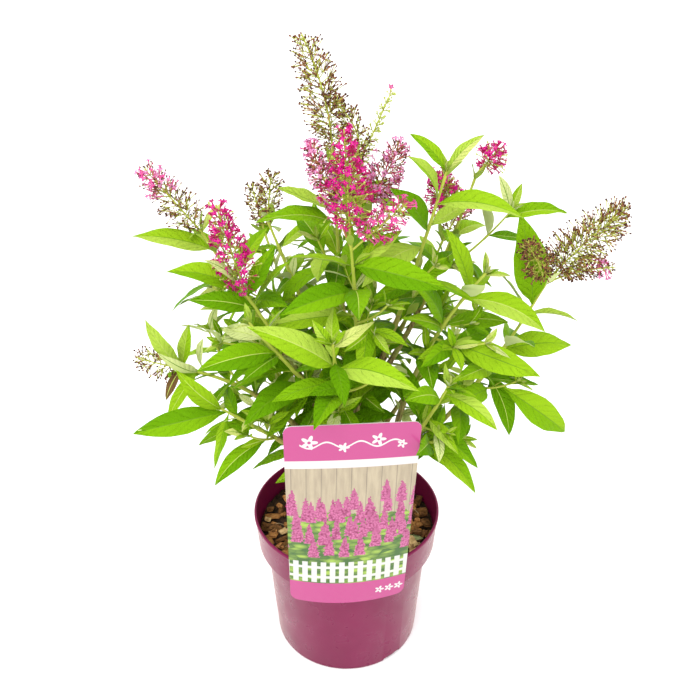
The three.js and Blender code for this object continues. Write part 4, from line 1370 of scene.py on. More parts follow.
@dataclass
class Foliage:
    """The leaves of one part of the crown, which become one piece for each size of leaf."""

    name: str
    masses: list[str]
    box: np.ndarray
    random: Random
    twig_chance: tuple[float, float] = (0.04, 0.3)
    big_from: float = 42
    clear_width: float = 100
    clear_front: float = -60
    clear_height: float = 242
    axil_chance: float = 0.14
    axil_leaf: tuple[float, float] = (15, 30)
    twig_reach: tuple[float, float] = (14, 28)
    twig_leaf: tuple[float, float] = (26, 42)
    bough_leaf: tuple[float, float] = (34, 58)
    pale_chance: float = 0.12
    pale_lengths: tuple[float, float] = (22, 50)
    tone: float = 1.8
    mid_height: float = 380
    bough_pairs: Point = (0.24, 0.34, 0.44)
    crowded_share: float = 0.55
    big: list[Blade] = field(default_factory=list)
    small: list[Blade] = field(default_factory=list)
    twigs: list[Arc] = field(default_factory=list)

    def grow(self, growth: Growth) -> None:
        """Take the leaves of the rule, and carry the twigs on to finer ones.

        Args:
            growth: The plant that the rule grew.
        """
        for mass in self.masses:
            for blade in growth.blades[mass]:
                self.take(blade)
            for blade in growth.crowded[mass]:
                blade.length *= self.crowded_share
                self.small.append(blade)
            for stem in growth.stems[mass]:
                self.fill(stem)
            self.clothe(growth.arcs[mass])
            for _, at, tip, finish in (odd for odd in ODD_LEAVES if odd[0] == mass):
                stem = growth.stems[mass][0]
                self.small.append(Blade.reaching(stem.arc, stem.along(at), tip))
                self.small[-1].finish = finish

    def fill(self, stem: GrownStem) -> None:
        """Add young leaves and short twigs in the axils of a stem, and a tuft at its end.

        Args:
            stem: The stem.
        """
        random = self.random
        for i, (t, age) in enumerate(stem.pair_places()):
            for half in (0, 180):
                angle = stem.shoot.roll + PAIRS.turn * i + half
                if random.random() < lerp(*self.twig_chance, age) and stem.kind is not Stem.TWIG:
                    self.add_twig(stem.arc, t, angle + random.uniform(-25, 25))
                for way in (-1, 1):
                    if random.random() < self.axil_chance:
                        turn = angle + way * random.uniform(20, 48)
                        self.add_small(stem.arc, t, turn, random.uniform(*self.axil_leaf), 0.25)
        if not stem.crowned:
            self.add_tuft(stem.arc, 0.995, random.uniform(10, 16))

    def take(self, blade: Blade) -> None:
        """Take a leaf, unless it would hang before the pot's rim beside the label.

        Args:
            blade: The leaf.
        """
        x, y, z = blade.tip()
        if abs(x) > self.clear_width or y > self.clear_front or z > self.clear_height:
            (self.big if blade.length >= self.big_from else self.small).append(blade)

    def keep(self, blade: Blade) -> None:
        """Take a leaf whose tip stays inside the box of the solids.

        Args:
            blade: The leaf.
        """
        low, high = self.box
        tip, room = blade.tip(), 0.2 * blade.length
        if np.all(tip > low + room) and np.all(tip < high - room):
            self.take(blade)

    def clothe(self, bough: Arc) -> None:
        """Add drooping leaf pairs along the upper half of a bough, below its mass.

        Args:
            bough: The bough.
        """
        random = self.random
        for i, t in enumerate(self.bough_pairs):
            for half in (0, 180):
                angle = 40 + PAIRS.turn * i + half + random.uniform(-25, 25)
                length, twist = random.uniform(*self.bough_leaf), random.uniform(-20, 20)
                spread, droop = random.uniform(55, 75), random.uniform(25, 60)
                blade = Blade.leaving(bough, t, angle, spread, droop, twist, length)
                blade.age = 0.85
                self.keep(blade)

    def add_small(self, arc: Arc, t: float, angle: float, length: float, age: float) -> None:
        """Add one small leaf to a stem.

        Args:
            arc: The stem's arc.
            t: The place on it, from 0 to 1.
            angle: The angle round it, in degrees.
            length: Its length, in millimetres.
            age: Its age, from 1, the oldest, to 0.
        """
        spread, droop, twist = (self.random.uniform(*span) for span in ((26, 58), (15, 50), (-25, 25)))
        blade = Blade.leaving(arc, t, angle, spread, droop, twist, length)
        blade.age = age
        self.keep(blade)

    def add_tuft(self, arc: Arc, t: float, length: float) -> None:
        """Add the youngest pairs at a stem's end.

        Args:
            arc: The stem's arc.
            t: Where they stand on it, from 0 to 1.
            length: Their length, in millimetres.
        """
        roll = self.random.uniform(0, 90)
        for pair in range(2):
            for half in (0, 180):
                size = length * (1 - 0.35 * pair) * self.random.uniform(0.85, 1.1)
                blade = Blade.leaving(arc, t, roll + 90 * pair + half, 30 - 12 * pair, 18, 0, size)
                blade.age = 0.0
                self.keep(blade)

    def add_twig(self, arc: Arc, t: float, angle: float) -> None:
        """Add a fine twig with two pairs of small leaves in an axil.

        Args:
            arc: The stem's arc.
            t: The place on it, from 0 to 1.
            angle: The angle round it, in degrees.
        """
        random = self.random
        reach = random.uniform(*self.twig_reach)
        start = arc.point(t)
        way = arc.across(t, angle) * TWIGS.outward + arc.tangent(t) * TWIGS.onward
        twig = Arc.sagging(start, start + way * reach, TWIG_SAG * reach)
        self.twigs.append(twig)
        roll = random.uniform(0, 90)
        for pair, at in enumerate((0.62, 0.98)):
            for half in (0, 180):
                size = random.uniform(*self.twig_leaf) * (1 - 0.25 * pair)
                self.add_small(twig, at, roll + 90 * pair + half + random.uniform(-12, 12), size, 0.4)
        self.add_tuft(twig, 1.0, random.uniform(7, 11))

    def pieces(self, materials: list[Material]) -> list[Piece]:
        """Make the large and the small leaves.

        Args:
            materials: The finishes of LEAF_FINISHES, made.

        Returns:
            The two joined pieces.
        """
        made = []
        sizes = (("leaves", LEAF_NET, self.big), ("young_leaves", SMALL_LEAF_NET, self.small))
        for kind, net, blades in sizes:
            template, batch = net.template(), Batch()
            shades = np.array([self.shade(blade) for blade in blades])
            batch.add(template, net.points(blades, self.random), shades[:, np.array(template.kinds)])
            piece = batch.piece(f"{self.name}_{kind}", materials)
            Workbench.smooth(piece, 80)
            made.append(piece)
        return made

    def shade(self, blade: Blade) -> tuple[int, ...]:
        """The finishes of one leaf's half, midrib, underside and other half: young leaves are lighter, high
        leaves lighter as painted light from above, and the other half up to a tone apart as painted light and
        shade.

        Args:
            blade: The leaf.

        Returns:
            Their places in LEAF_FINISHES.
        """
        random, low, high = self.random, *self.pale_lengths
        # Painted light: leaves higher in the crown take lighter tones, as if lit from above, and lower ones
        # darker tones.
        height = (blade.root[2] - self.mid_height) / 700
        tone = self.tone - 0.5 * (blade.length > high) - 2.2 * (blade.age - 0.4) + 1.2 * height
        lightest = 3 if blade.length > high else 4
        top = int(np.clip(round(tone + random.normal(0, 0.8)), 0, lightest))
        # Some mid-sized leaves turn grey-green: partly a real pale felted face, partly painted sheen.
        if random.random() < self.pale_chance and low < blade.length < high:
            top = PALE
        if blade.finish is not None:
            top = blade.finish
        ribs = len(LEAF_TOPS)
        unders = ribs + len(LEAF_RIBS)
        # Painted light and shade: the other half of the face takes up to a tone lighter or darker, as the lit
        # and the shaded half of a folded leaf.
        far = int(np.clip(top + random.integers(-1, 2), 0, lightest)) if top < PALE else top
        return top, ribs + int(random.random() < 0.4), unders + int(random.random() < 0.4), far


# ---- stems, trunk and boughs


@dataclass(frozen=True)
class GreenStems:
    """The young stems of the crown: smooth, a little swollen where each leaf pair stands."""

    swelling: float = 0.35
    swelling_reach: float = 0.018

    def make(self, growth: Growth, twigs: Sequence[Arc], materials: list[Material]) -> Piece:
        """Join every green stem and twig into one piece.

        Args:
            growth: The plant that the rule grew.
            twigs: The finer twigs that were added.
            materials: Its finishes, made.

        Returns:
            The piece.
        """
        batch = Batch()
        for stems in growth.stems.values():
            for stem in stems:
                facets = {Stem.MAIN: (8, 26), Stem.SHOOT: (7, 16), Stem.TWIG: (6, 8)}[stem.kind]
                pairs = [t for t, _ in stem.pair_places()]
                low, high = stem.kind.radii

                def radius(share: float) -> float:
                    """The stem's radius, swollen at its leaf pairs."""
                    t = stem.along(share)
                    swell = sum(math.exp(-(((t - pair) / self.swelling_reach) ** 2)) for pair in pairs)
                    return lerp(low, high, share) * (1 + self.swelling * min(1, swell))

                shape, points = tube(stem.arc, (stem.start, 1), radius, *facets)
                woody = stem.kind is Stem.MAIN
                kinds = [int(woody and face // facets[0] < 5) for face in range(len(shape.faces))]
                batch.add(shape, points, np.array(kinds))
        for twig in twigs:
            batch.add(*tube(twig, (0, 1), lambda share: lerp(0.6, 0.4, share), 5, 3))
        return batch.piece("green_stems", materials)


@dataclass(frozen=True)
class Wood:
    """The trunk and boughs, with the relief of their bark."""

    sizes: TrunkSizes = TRUNK
    sides: int = 40
    rings: int = 64
    relief: float = 0.55
    bough_sides: int = 20
    bough_steps: int = 40

    def trunk_radius(self, share: float) -> float:
        """The trunk's radius at a share of its height, with its flared foot."""
        flare = 1 + (self.sizes.flare - 1) * math.exp(-share * self.sizes.flare_fade)
        return lerp(self.sizes.foot_radius, self.sizes.top_radius, share) * flare

    def trunk(self, growth: Growth, material: Material) -> Piece:
        """Make the trunk: a cylinder cut into rings that follow its arc, with furrows worked in.

        Args:
            growth: The plant that the rule grew.
            material: Its finish, made.

        Returns:
            The piece.
        """
        depth = 60 * MM
        at = (0, 0, 0)
        bpy.ops.mesh.primitive_cylinder_add(vertices=self.sides, radius=8 * MM, depth=depth, location=at)
        piece = bpy.context.active_object
        piece.name = piece.data.name = "woody_trunk"
        Workbench.shape("EDGE", "DESELECT")
        Workbench.shaped()
        for edge in piece.data.edges:
            ends = [piece.data.vertices[i].co.z for i in edge.vertices]
            edge.select = abs(ends[0] - ends[1]) > depth / 2
        bpy.ops.object.mode_set(mode="EDIT")
        bpy.ops.mesh.subdivide(number_cuts=self.rings - 1)
        Workbench.shaped()
        arc = growth.trunk
        for vertex in piece.data.vertices:
            share = vertex.co.z / depth + 0.5
            angle = math.degrees(math.atan2(vertex.co.y, vertex.co.x))
            out = arc.across(share, angle)
            place = arc.point(share) + out * self.trunk_radius(share)
            place = place + out * self.furrows(place, self.relief * 1.4)
            place[2] = max(place[2], self.sizes.foot[2])
            vertex.co = place * MM
        piece.data.materials.append(material)
        bpy.ops.object.shade_smooth()
        return piece

    def boughs(self, growth: Growth, material: Material) -> Piece:
        """Make the boughs from the trunk or their carriers to their elbows.

        Args:
            growth: The plant that the rule grew.
            material: Its finish, made.

        Returns:
            The piece.
        """
        batch = Batch()
        for arc in growth.arcs.values():
            end = 0.5 - GAP / 2 / arc.length()
            radii = Stem.BOUGH.radii
            shape, points = tube(
                arc, (0, end), lambda share: lerp(*radii, share), self.bough_sides, self.bough_steps,
                lambda place: self.furrows(place, self.relief * 0.6),
            )
            batch.add(shape, points)
        return batch.piece("woody_boughs", [material])

    @staticmethod
    def furrows(place: np.ndarray, depth: float) -> float:
        """How far the bark stands out at a point: long furrows and a coarse unevenness.

        Args:
            place: A point of the wood.
            depth: The depth of the furrows, in millimetres.

        Returns:
            The height, in millimetres.
        """
        drawn = noise.noise(Vector((place[0] * 0.9, place[1] * 0.9, place[2] * 0.12)))
        coarse = noise.noise(Vector(place * 0.16))
        return depth * (0.7 * drawn + 0.7 * coarse - 0.3)


# ---- panicles


class State(Enum):
    """What stands at the end of a flower stalk: its length, and its scale against its shape."""

    OPEN = (7.2, 1.0)
    BUD = (4.4, 0.9)
    DRY = (3.7, 0.95)
    CALYX = (1.6, 0.8)


FLOWER_FINISHES = [
    SoftFinish("petal_magenta", (0.64, 0.006, 0.27), 0.55, specular=0.15),
    SoftFinish("petal_bright_magenta", (0.72, 0.022, 0.35), 0.55, specular=0.15),
    SoftFinish("petal_pink", (0.78, 0.12, 0.43), 0.6, specular=0.15),
    SoftFinish("petal_faded_lilac", (0.74, 0.33, 0.58), 0.65, specular=0.15),
    SoftFinish("tube_crimson", (0.42, 0.008, 0.10), 0.5, specular=0.15),
    SoftFinish("tube_rose", (0.60, 0.10, 0.24), 0.55, specular=0.15),
    SoftFinish("floret_eye", (0.60, 0.14, 0.02), 0.6, specular=0.15),
    SoftFinish("bud_knob", (0.36, 0.010, 0.07), 0.45),
    SoftFinish("capsule_stalk", (0.42, 0.43, 0.075), 0.75, specular=0.1),
    SoftFinish("capsule_brown", (0.19, 0.072, 0.034), 0.7, specular=0.15),
    SoftFinish("capsule_dark", (0.066, 0.025, 0.015), 0.7, specular=0.15),
    SoftFinish("calyx_green", (0.42, 0.48, 0.10), 0.6),
]
TUBES, EYE, KNOB, STRAW, BROWNS, CALYX = (4, 5), 6, 7, 8, (9, 10), 11  # petals come first

STALK_FINISHES = [
    SoftFinish("stalk_yellow_green", (0.44, 0.48, 0.075), 0.6, specular=0.15),
    SoftFinish("stalk_peach", (0.44, 0.19, 0.085), 0.6, specular=0.15),
    SoftFinish("stalk_dry", (0.33, 0.26, 0.07), 0.75, specular=0.15),
    SoftFinish("stalk_brown", (0.19, 0.085, 0.038), 0.75, specular=0.1),
]
PEACH_STALK, BROWN_STALK = 1, 3


@dataclass(frozen=True)
class Blossom:
    """The shapes that are copied over the panicles: floret, bud or capsule, and stalk."""

    tube_foot: float = 0.38
    tube_mouth: float = 0.62
    tube_length: float = 7.2
    eye: float = 0.5
    notch: float = 0.85
    shoulder: tuple[float, float] = (2.1, 24)
    petal: float = 2.7

    def floret(self) -> Template:
        """A four-lobed star on a slender tube.

        Returns:
            The shape.
        """
        top = self.tube_length
        rings = [
            (self.tube_foot, 45, 0), (self.tube_mouth, 45, top - 0.5), (self.eye, 45, top - 0.25),
            (self.notch, 45, top),
        ]
        reach, turn = self.shoulder
        rings += [(reach, -turn, top + 0.25), (self.petal, 0, top - 0.1), (reach, turn, top + 0.25)]
        points = [self.spot(radius, 90 * i + angle, z) for radius, angle, z in rings for i in range(4)]
        foot, mouth, eye, notch, left, tip, right = (range(4 * k, 4 * k + 4) for k in range(len(rings)))
        faces = [tuple(foot)[::-1], tuple(eye)]
        kinds = [0, 2]
        for i in range(4):
            before = (i + 3) % 4
            faces.append((foot[before], foot[i], mouth[i], mouth[before]))
            faces.append((eye[before], notch[before], left[i], tip[i], right[i], notch[i], eye[i]))
            faces.append((mouth[i], notch[i], right[i], tip[i], left[i], notch[before], mouth[before]))
            kinds += [0, 1, 1]
        return Template(np.array(points), tuple(faces), tuple(kinds))

    @staticmethod
    def bud(knob: float, neck: float) -> Template:
        """A short tube with a round knob of a radius: a closed bud or a dry capsule.

        Args:
            knob: The knob's radius.
            neck: The tube's radius.

        Returns:
            The shape.
        """
        profile = ((0.3, 0.0), (neck, 2.6), (knob, 3.4), (knob * 0.85, 4.2), (0.25, 4.6))
        points = [Blossom.spot(radius, 72 * i, z) for radius, z in profile for i in range(5)]
        faces: list[tuple[int, ...]] = [(4, 3, 2, 1, 0), (20, 21, 22, 23, 24)]
        kinds = [0, 1]
        for k in range(4):
            for i in range(5):
                j = (i + 1) % 5
                faces.append((5 * k + i, 5 * k + j, 5 * k + 5 + j, 5 * k + 5 + i))
                kinds.append(int(k > 0))
        return Template(np.array(points), tuple(faces), tuple(kinds))

    @staticmethod
    def stalk() -> Template:
        """A three-sided stalk: its near ring, then its far ring.

        Returns:
            The shape.
        """
        points = [Blossom.spot(1, 120 * i, z) for z in (0, 1) for i in range(3)]
        faces = ((2, 1, 0), (3, 4, 5), (0, 1, 4, 3), (1, 2, 5, 4), (2, 0, 3, 5))
        return Template(np.array(points), faces, (0,) * 5)

    @staticmethod
    def spot(radius: float, degrees: float, z: float) -> Point:
        """A point at a radius, an angle and a height."""
        return radius * math.cos(math.radians(degrees)), radius * math.sin(math.radians(degrees)), z


@dataclass(frozen=True)
class Habit:
    """How a kind of panicle is built up: the room between its cymes, their number and their ends."""

    spacing: float
    cymes: int
    ends: tuple[int, int]
    open_share: float
    bud_share: float
    opening: tuple[float, float] = (12, 50)
    petals: tuple[int, ...] = (0, 1, 1, 2)
    stalk: int = 0
    taper: tuple[float, float] = (2.6, 0.5)
    reach: tuple[float, float] = (0.66, 1.04)
    end: float = 0.985
    rest: State = State.DRY


HABITS = {
    Kind.FRESH: Habit(
        4.8, 6, (3, 5), 0.56, 0.22, petals=(0, 0, 1, 1), taper=(1.08, 0.92), end=0.92, rest=State.CALYX,
    ),
    Kind.FULL: Habit(
        4.7, 6, (4, 5), 0.55, 0.22, petals=(0, 1, 1), taper=(2.2, 0.6), end=0.94, rest=State.CALYX,
    ),
    Kind.PINK: Habit(4.6, 6, (3, 5), 0.5, 0.05, petals=(1, 1, 2, 2), taper=(2, 0.6)),
    Kind.FADED: Habit(
        4.4, 7, (4, 6), 0.42, 0.04, petals=(3,), stalk=PEACH_STALK, taper=(3, 0.5), reach=(0.75, 1.2),
        end=0.94,
    ),
    Kind.SPENT: Habit(4.6, 4, (7, 10), 0.0, 0.0, taper=(4, 0.45), reach=(0.6, 1.14)),
    Kind.TURNING: Habit(4.6, 6, (4, 6), 0.44, 0.04, petals=(2, 3, 3, 3), taper=(4.5, 0.5)),
    Kind.BARE: Habit(4.6, 3, (5, 9), 0.04, 0.0, petals=(2, 3), rest=State.CALYX),
}


@dataclass
class Blooms:
    """The blossom of the whole plant: the stalks, and what stands at their ends."""

    box: np.ndarray
    random: Random
    petal_room: float = 3.4
    dry_tones: Point = (0.55, 0.15, 0.3)
    swell_foot: float = 0.45
    swell_rate: float = 3.2
    slimmest: float = 0.16
    turning_at: float = 0.5
    widest_step: float = 0.16
    fork_at: tuple[float, float] = (0.3, 0.48)
    splay: float = 0.42
    girths: tuple[float, float] = (0.45, 0.36)
    ends: list[tuple[np.ndarray, np.ndarray, State, float, Habit]] = field(default_factory=list)
    stalks: list[tuple[np.ndarray, np.ndarray, float, int]] = field(default_factory=list)
    spines: list[tuple[Arc, int]] = field(default_factory=list)

    def leaves_box(self, point: np.ndarray, room: float) -> bool:
        """Whether a point, with some room round it, would stand outside the box of the solids."""
        low, high = self.box
        return bool(np.any(point < low + room) or np.any(point > high - room))

    def swell(self, share: float, taper: tuple[float, float]) -> float:
        """How full a panicle is along its length."""
        full = min(1.0, self.swell_foot + share * self.swell_rate)
        return full * (1 - min(1, share) ** taper[0]) ** taper[1]

    def grow(self, panicle: Panicle, arc: Arc) -> None:
        """Build one panicle up from its rachis.

        Args:
            panicle: The panicle.
            arc: Its rachis.
        """
        random, turning = self.random, panicle.kind is Kind.TURNING
        span = arc.length() * (1 - panicle.bare)
        share, turn = 0.0, random.uniform(0, 360)
        while share < HABITS[panicle.kind].end:
            spent = turning and share < self.turning_at
            habit = HABITS[Kind.SPENT if spent else panicle.kind]
            radius = panicle.width / 2 * max(self.slimmest, self.swell(share * 0.97, habit.taper))
            count = max(3, round(habit.cymes * (1 - 0.35 * share)))
            for k in range(count):
                angle = turn + 360 * k / count + random.uniform(-14, 14)
                self.add_cyme(arc, lerp(panicle.bare, 1, share), share, angle, radius, habit)
            turn += 180 / count
            step = min(habit.spacing / span, self.widest_step) / panicle.dense
            share += step * random.uniform(0.85, 1.15)
        self.spines.append((arc, HABITS[panicle.kind].stalk))

    def add_cyme(
        self, arc: Arc, t: float, share: float, angle: float, radius: float, habit: Habit,
    ) -> None:
        """Add one branched cyme.

        Args:
            arc: The rachis.
            t: Where the cyme leaves it.
            share: How far up the flowering part that is.
            angle: Round the rachis, in degrees.
            radius: How far the cyme may reach.
            habit: The panicle's habit.
        """
        random = self.random
        rise = math.radians(lerp(*habit.opening, share) + random.uniform(-10, 10))
        out = arc.across(t, angle) * math.cos(rise) + arc.tangent(t) * math.sin(rise)
        root = arc.point(t)
        fork = root + out * radius * random.uniform(*self.fork_at)
        if self.leaves_box(fork, 1):
            return
        self.stalks.append((root, fork, self.girths[0], habit.stalk))
        gone = float(np.linalg.norm(fork - root))
        count = round(random.integers(habit.ends[0], habit.ends[1] + 1) * min(1, 0.45 + radius / 36))
        for _ in range(count):
            spread = unit(out + random.normal(0, self.splay, 3))
            state = self.state_of(habit)
            size = random.uniform(0.82, 1.12)
            own = state.value[0] * size
            foot = fork + spread * max(0.6, radius * random.uniform(*habit.reach) - gone - own)
            if self.leaves_box(foot + spread * (own + 0.6), self.petal_room if state is State.OPEN else 0.6):
                continue
            tone = habit.stalk
            if state is State.DRY:
                tone = int(random.choice((habit.stalk, PEACH_STALK, BROWN_STALK), p=self.dry_tones))
            self.stalks.append((fork, foot, self.girths[1], tone))
            self.ends.append((foot, spread, state, size, habit))

    def state_of(self, habit: Habit) -> State:
        """How far one flower has come.

        Args:
            habit: Its panicle's habit.

        Returns:
            The state.
        """
        draw = self.random.random()
        if draw < habit.open_share:
            return State.OPEN
        return State.BUD if draw < habit.open_share + habit.bud_share else habit.rest

    def flowers(self, materials: list[Material]) -> list[Piece]:
        """Join the open florets into one piece, the buds into another and the dry capsules into a third.

        Args:
            materials: The finishes of FLOWER_FINISHES, made.

        Returns:
            The three pieces.
        """
        made, shapes = [], Blossom()
        kinds_of_end = (
            ("open_florets", shapes.floret(), {State.OPEN}),
            ("flower_buds", shapes.bud(0.95, 0.45), {State.BUD, State.CALYX}),
            ("seed_capsules", shapes.bud(0.86, 0.36), {State.DRY}),
        )
        for name, template, states in kinds_of_end:
            batch, chosen = Batch(), [end for end in self.ends if end[2] in states]
            foot, out = (np.array([end[part] for end in chosen]) for part in (0, 1))
            scale = np.array([size * state.value[1] for _, _, state, size, _ in chosen])
            frames = frames_along(out, self.random.uniform(0, 6.28, len(chosen)))
            shades = np.array([self.shades_of(end[2], end[4]) for end in chosen])
            batch.add(template, placed(template, foot, frames, scale), shades[:, np.array(template.kinds)])
            made.append(batch.piece(name, materials, smooth=False))
        return made

    def shades_of(self, state: State, habit: Habit) -> tuple[int, int, int]:
        """The finishes of a flower's tube, its petals or knob, and its eye.

        Args:
            state: How far the flower has come.
            habit: Its panicle's habit.

        Returns:
            Their places in FLOWER_FINISHES.
        """
        if state is State.OPEN:
            petal = int(self.random.choice(habit.petals))
            return TUBES[int(petal > 1)], petal, EYE
        if state is State.BUD:
            return TUBES[0], KNOB, EYE
        if state is State.CALYX:
            return CALYX, CALYX, EYE
        foot = (STRAW, BROWNS[0])[int(self.random.random() < 0.4)]
        return foot, BROWNS[int(self.random.random() < 0.45)], EYE

    def branches(self, materials: list[Material]) -> Piece:
        """Join all rachises and stalks into one piece.

        Args:
            materials: The finishes of STALK_FINISHES, made.

        Returns:
            The piece.
        """
        batch, template = Batch(), Blossom.stalk()
        near, far, girth = (np.array([stalk[part] for stalk in self.stalks]) for part in range(3))
        way = far - near
        out = unit(way)
        ring = placed(template, near, frames_along(out, np.zeros(len(near))), girth)
        flat = ring - np.einsum("mnj,mj->mn", ring - near[:, None], out)[..., None] * out[:, None]
        points = flat + way[:, None] * template.points[None, :, 2:3]
        batch.add(template, points, np.array([[stalk[3]] * len(template.faces) for stalk in self.stalks]))
        for arc, stalk in self.spines:
            shape, points = tube(arc, (0, 0.992), lambda share: lerp(*Stem.RACHIS.radii, share), 6, 20)
            batch.add(shape, points, np.full(len(shape.faces), stalk))
        return batch.piece("flower_stalks", materials)


# ---- pot


class Workbench:
    """Short ways to model by hand."""

    @staticmethod
    def clear() -> None:
        """Let go of everything, so that an operator meets only what is added next."""
        bpy.ops.object.select_all(action="DESELECT")

    @staticmethod
    def pick(piece: Piece) -> None:
        """Let go of everything but one piece.

        Args:
            piece: The piece.
        """
        Workbench.clear()
        bpy.context.view_layer.objects.active = piece
        piece.select_set(True)

    @staticmethod
    def shape(kind: str = "FACE", action: str = "SELECT") -> None:
        """Go into edit mode, with all or none of the faces or edges of the active piece selected.

        Args:
            kind: What is picked: faces, edges or corners.
            action: All of them, or none.
        """
        bpy.ops.object.mode_set(mode="EDIT")
        bpy.ops.mesh.select_mode(type=kind)
        bpy.ops.mesh.select_all(action=action)

    @staticmethod
    def shaped(outwards: bool = False) -> None:
        """Leave edit mode, with every face turned outwards if asked.

        Args:
            outwards: Whether to turn the faces.
        """
        if outwards:
            bpy.ops.mesh.select_all(action="SELECT")
            bpy.ops.mesh.normals_make_consistent(inside=False)
        bpy.ops.object.mode_set(mode="OBJECT")

    @staticmethod
    def drawn_round(name: str, profile: Sequence[tuple[float, float]], sides: int) -> Piece:
        """Draw a round form up from a disc, ring by ring, as on a wheel.

        Args:
            name: The new piece's name.
            profile: The radius and height of each ring, in millimetres; the first is the disc.
            sides: Facets round it.

        Returns:
            The closed form, its last ring being a flat face.
        """
        Workbench.clear()
        radius, height = profile[0]
        bpy.ops.mesh.primitive_circle_add(
            vertices=sides, radius=radius * MM, fill_type="NGON", location=(0, 0, height * MM),
        )
        piece = bpy.context.active_object
        piece.name = piece.data.name = name
        bpy.ops.object.transform_apply(location=True, rotation=False, scale=False)
        Workbench.shape()
        for ring, level in profile[1:]:
            bpy.ops.mesh.extrude_region_move(TRANSFORM_OT_translate={"value": (0, 0, (level - height) * MM)})
            grow = ring / radius
            bpy.ops.transform.resize(value=(grow, grow, 1), center_override=(0, 0, level * MM))
            radius, height = ring, level
        Workbench.shaped(outwards=True)
        return piece

    @staticmethod
    def apply(piece: Piece, kind: str, **settings: object) -> None:
        """Add a modifier to a piece and apply it.

        Args:
            piece: The piece.
            kind: The kind of modifier.
            settings: Its settings.
        """
        Workbench.pick(piece)
        modifier = piece.modifiers.new(kind.title(), kind)
        for key, value in settings.items():
            setattr(modifier, key, value)
        bpy.ops.object.modifier_apply(modifier=modifier.name)

    @staticmethod
    def cut(piece: Piece, tool: Piece) -> None:
        """Cut a tool's shape out of a piece and put the tool away."""
        Workbench.apply(piece, "BOOLEAN", operation="DIFFERENCE", object=tool, solver="EXACT")
        bpy.data.meshes.remove(tool.data)

    @staticmethod
    def smooth(piece: Piece, degrees: float) -> None:
        """Shade a piece smooth, and keep edges sharper than an angle."""
        Workbench.pick(piece)
        bpy.ops.object.shade_smooth_by_angle(angle=math.radians(degrees))

    @staticmethod
    def rehome(piece: Piece, slot: Slot, *nodes: str) -> Piece:
        """Let a piece ride on the body and stand for its nodes, which are hidden.

        Args:
            piece: The piece.
            slot: The slot of its material; not used.
            nodes: The nodes it replaces.

        Returns:
            The piece.
        """
        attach(piece, BODY)
        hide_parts(*nodes)
        return piece


@dataclass(frozen=True)
class PotPlastic:
    """Muted magenta nursery plastic: satin, a little dusty, and scuffed where it has been handled."""

    colour: Colour = (0.172, 0.007, 0.055)
    dusty: Colour = (0.195, 0.014, 0.070)
    deep: Colour = (0.152, 0.005, 0.047)

    def make(self) -> Material:
        """Make the material.

        Returns:
            The material.
        """
        shader = Shader(
            "pot_magenta_plastic", self.colour, 0.34, Specular_IOR_Level=0.14, Specular_Tint=(1, 0.9, 0.8, 1),
            Sheen_Weight=0.22, Sheen_Roughness=0.3, Sheen_Tint=(1, 0.82, 0.68, 1),
        )
        cloud = shader.noise(18, 4)
        dust = shader.ramp(shader.noise(25, 3), 0.45, 0.8, (0, 0.2))
        body = shader.mix(shader.ramp(cloud, 0.35, 0.65), self.deep, self.colour)
        shader.colour(shader.mix(dust, body, self.dusty))
        shader.roughness(shader.ramp(shader.noise(60, 4), 0.3, 0.7, (0.24, 0.36)))
        shader.bump(shader.noise(120, 2), 0.00002)
        return shader.material


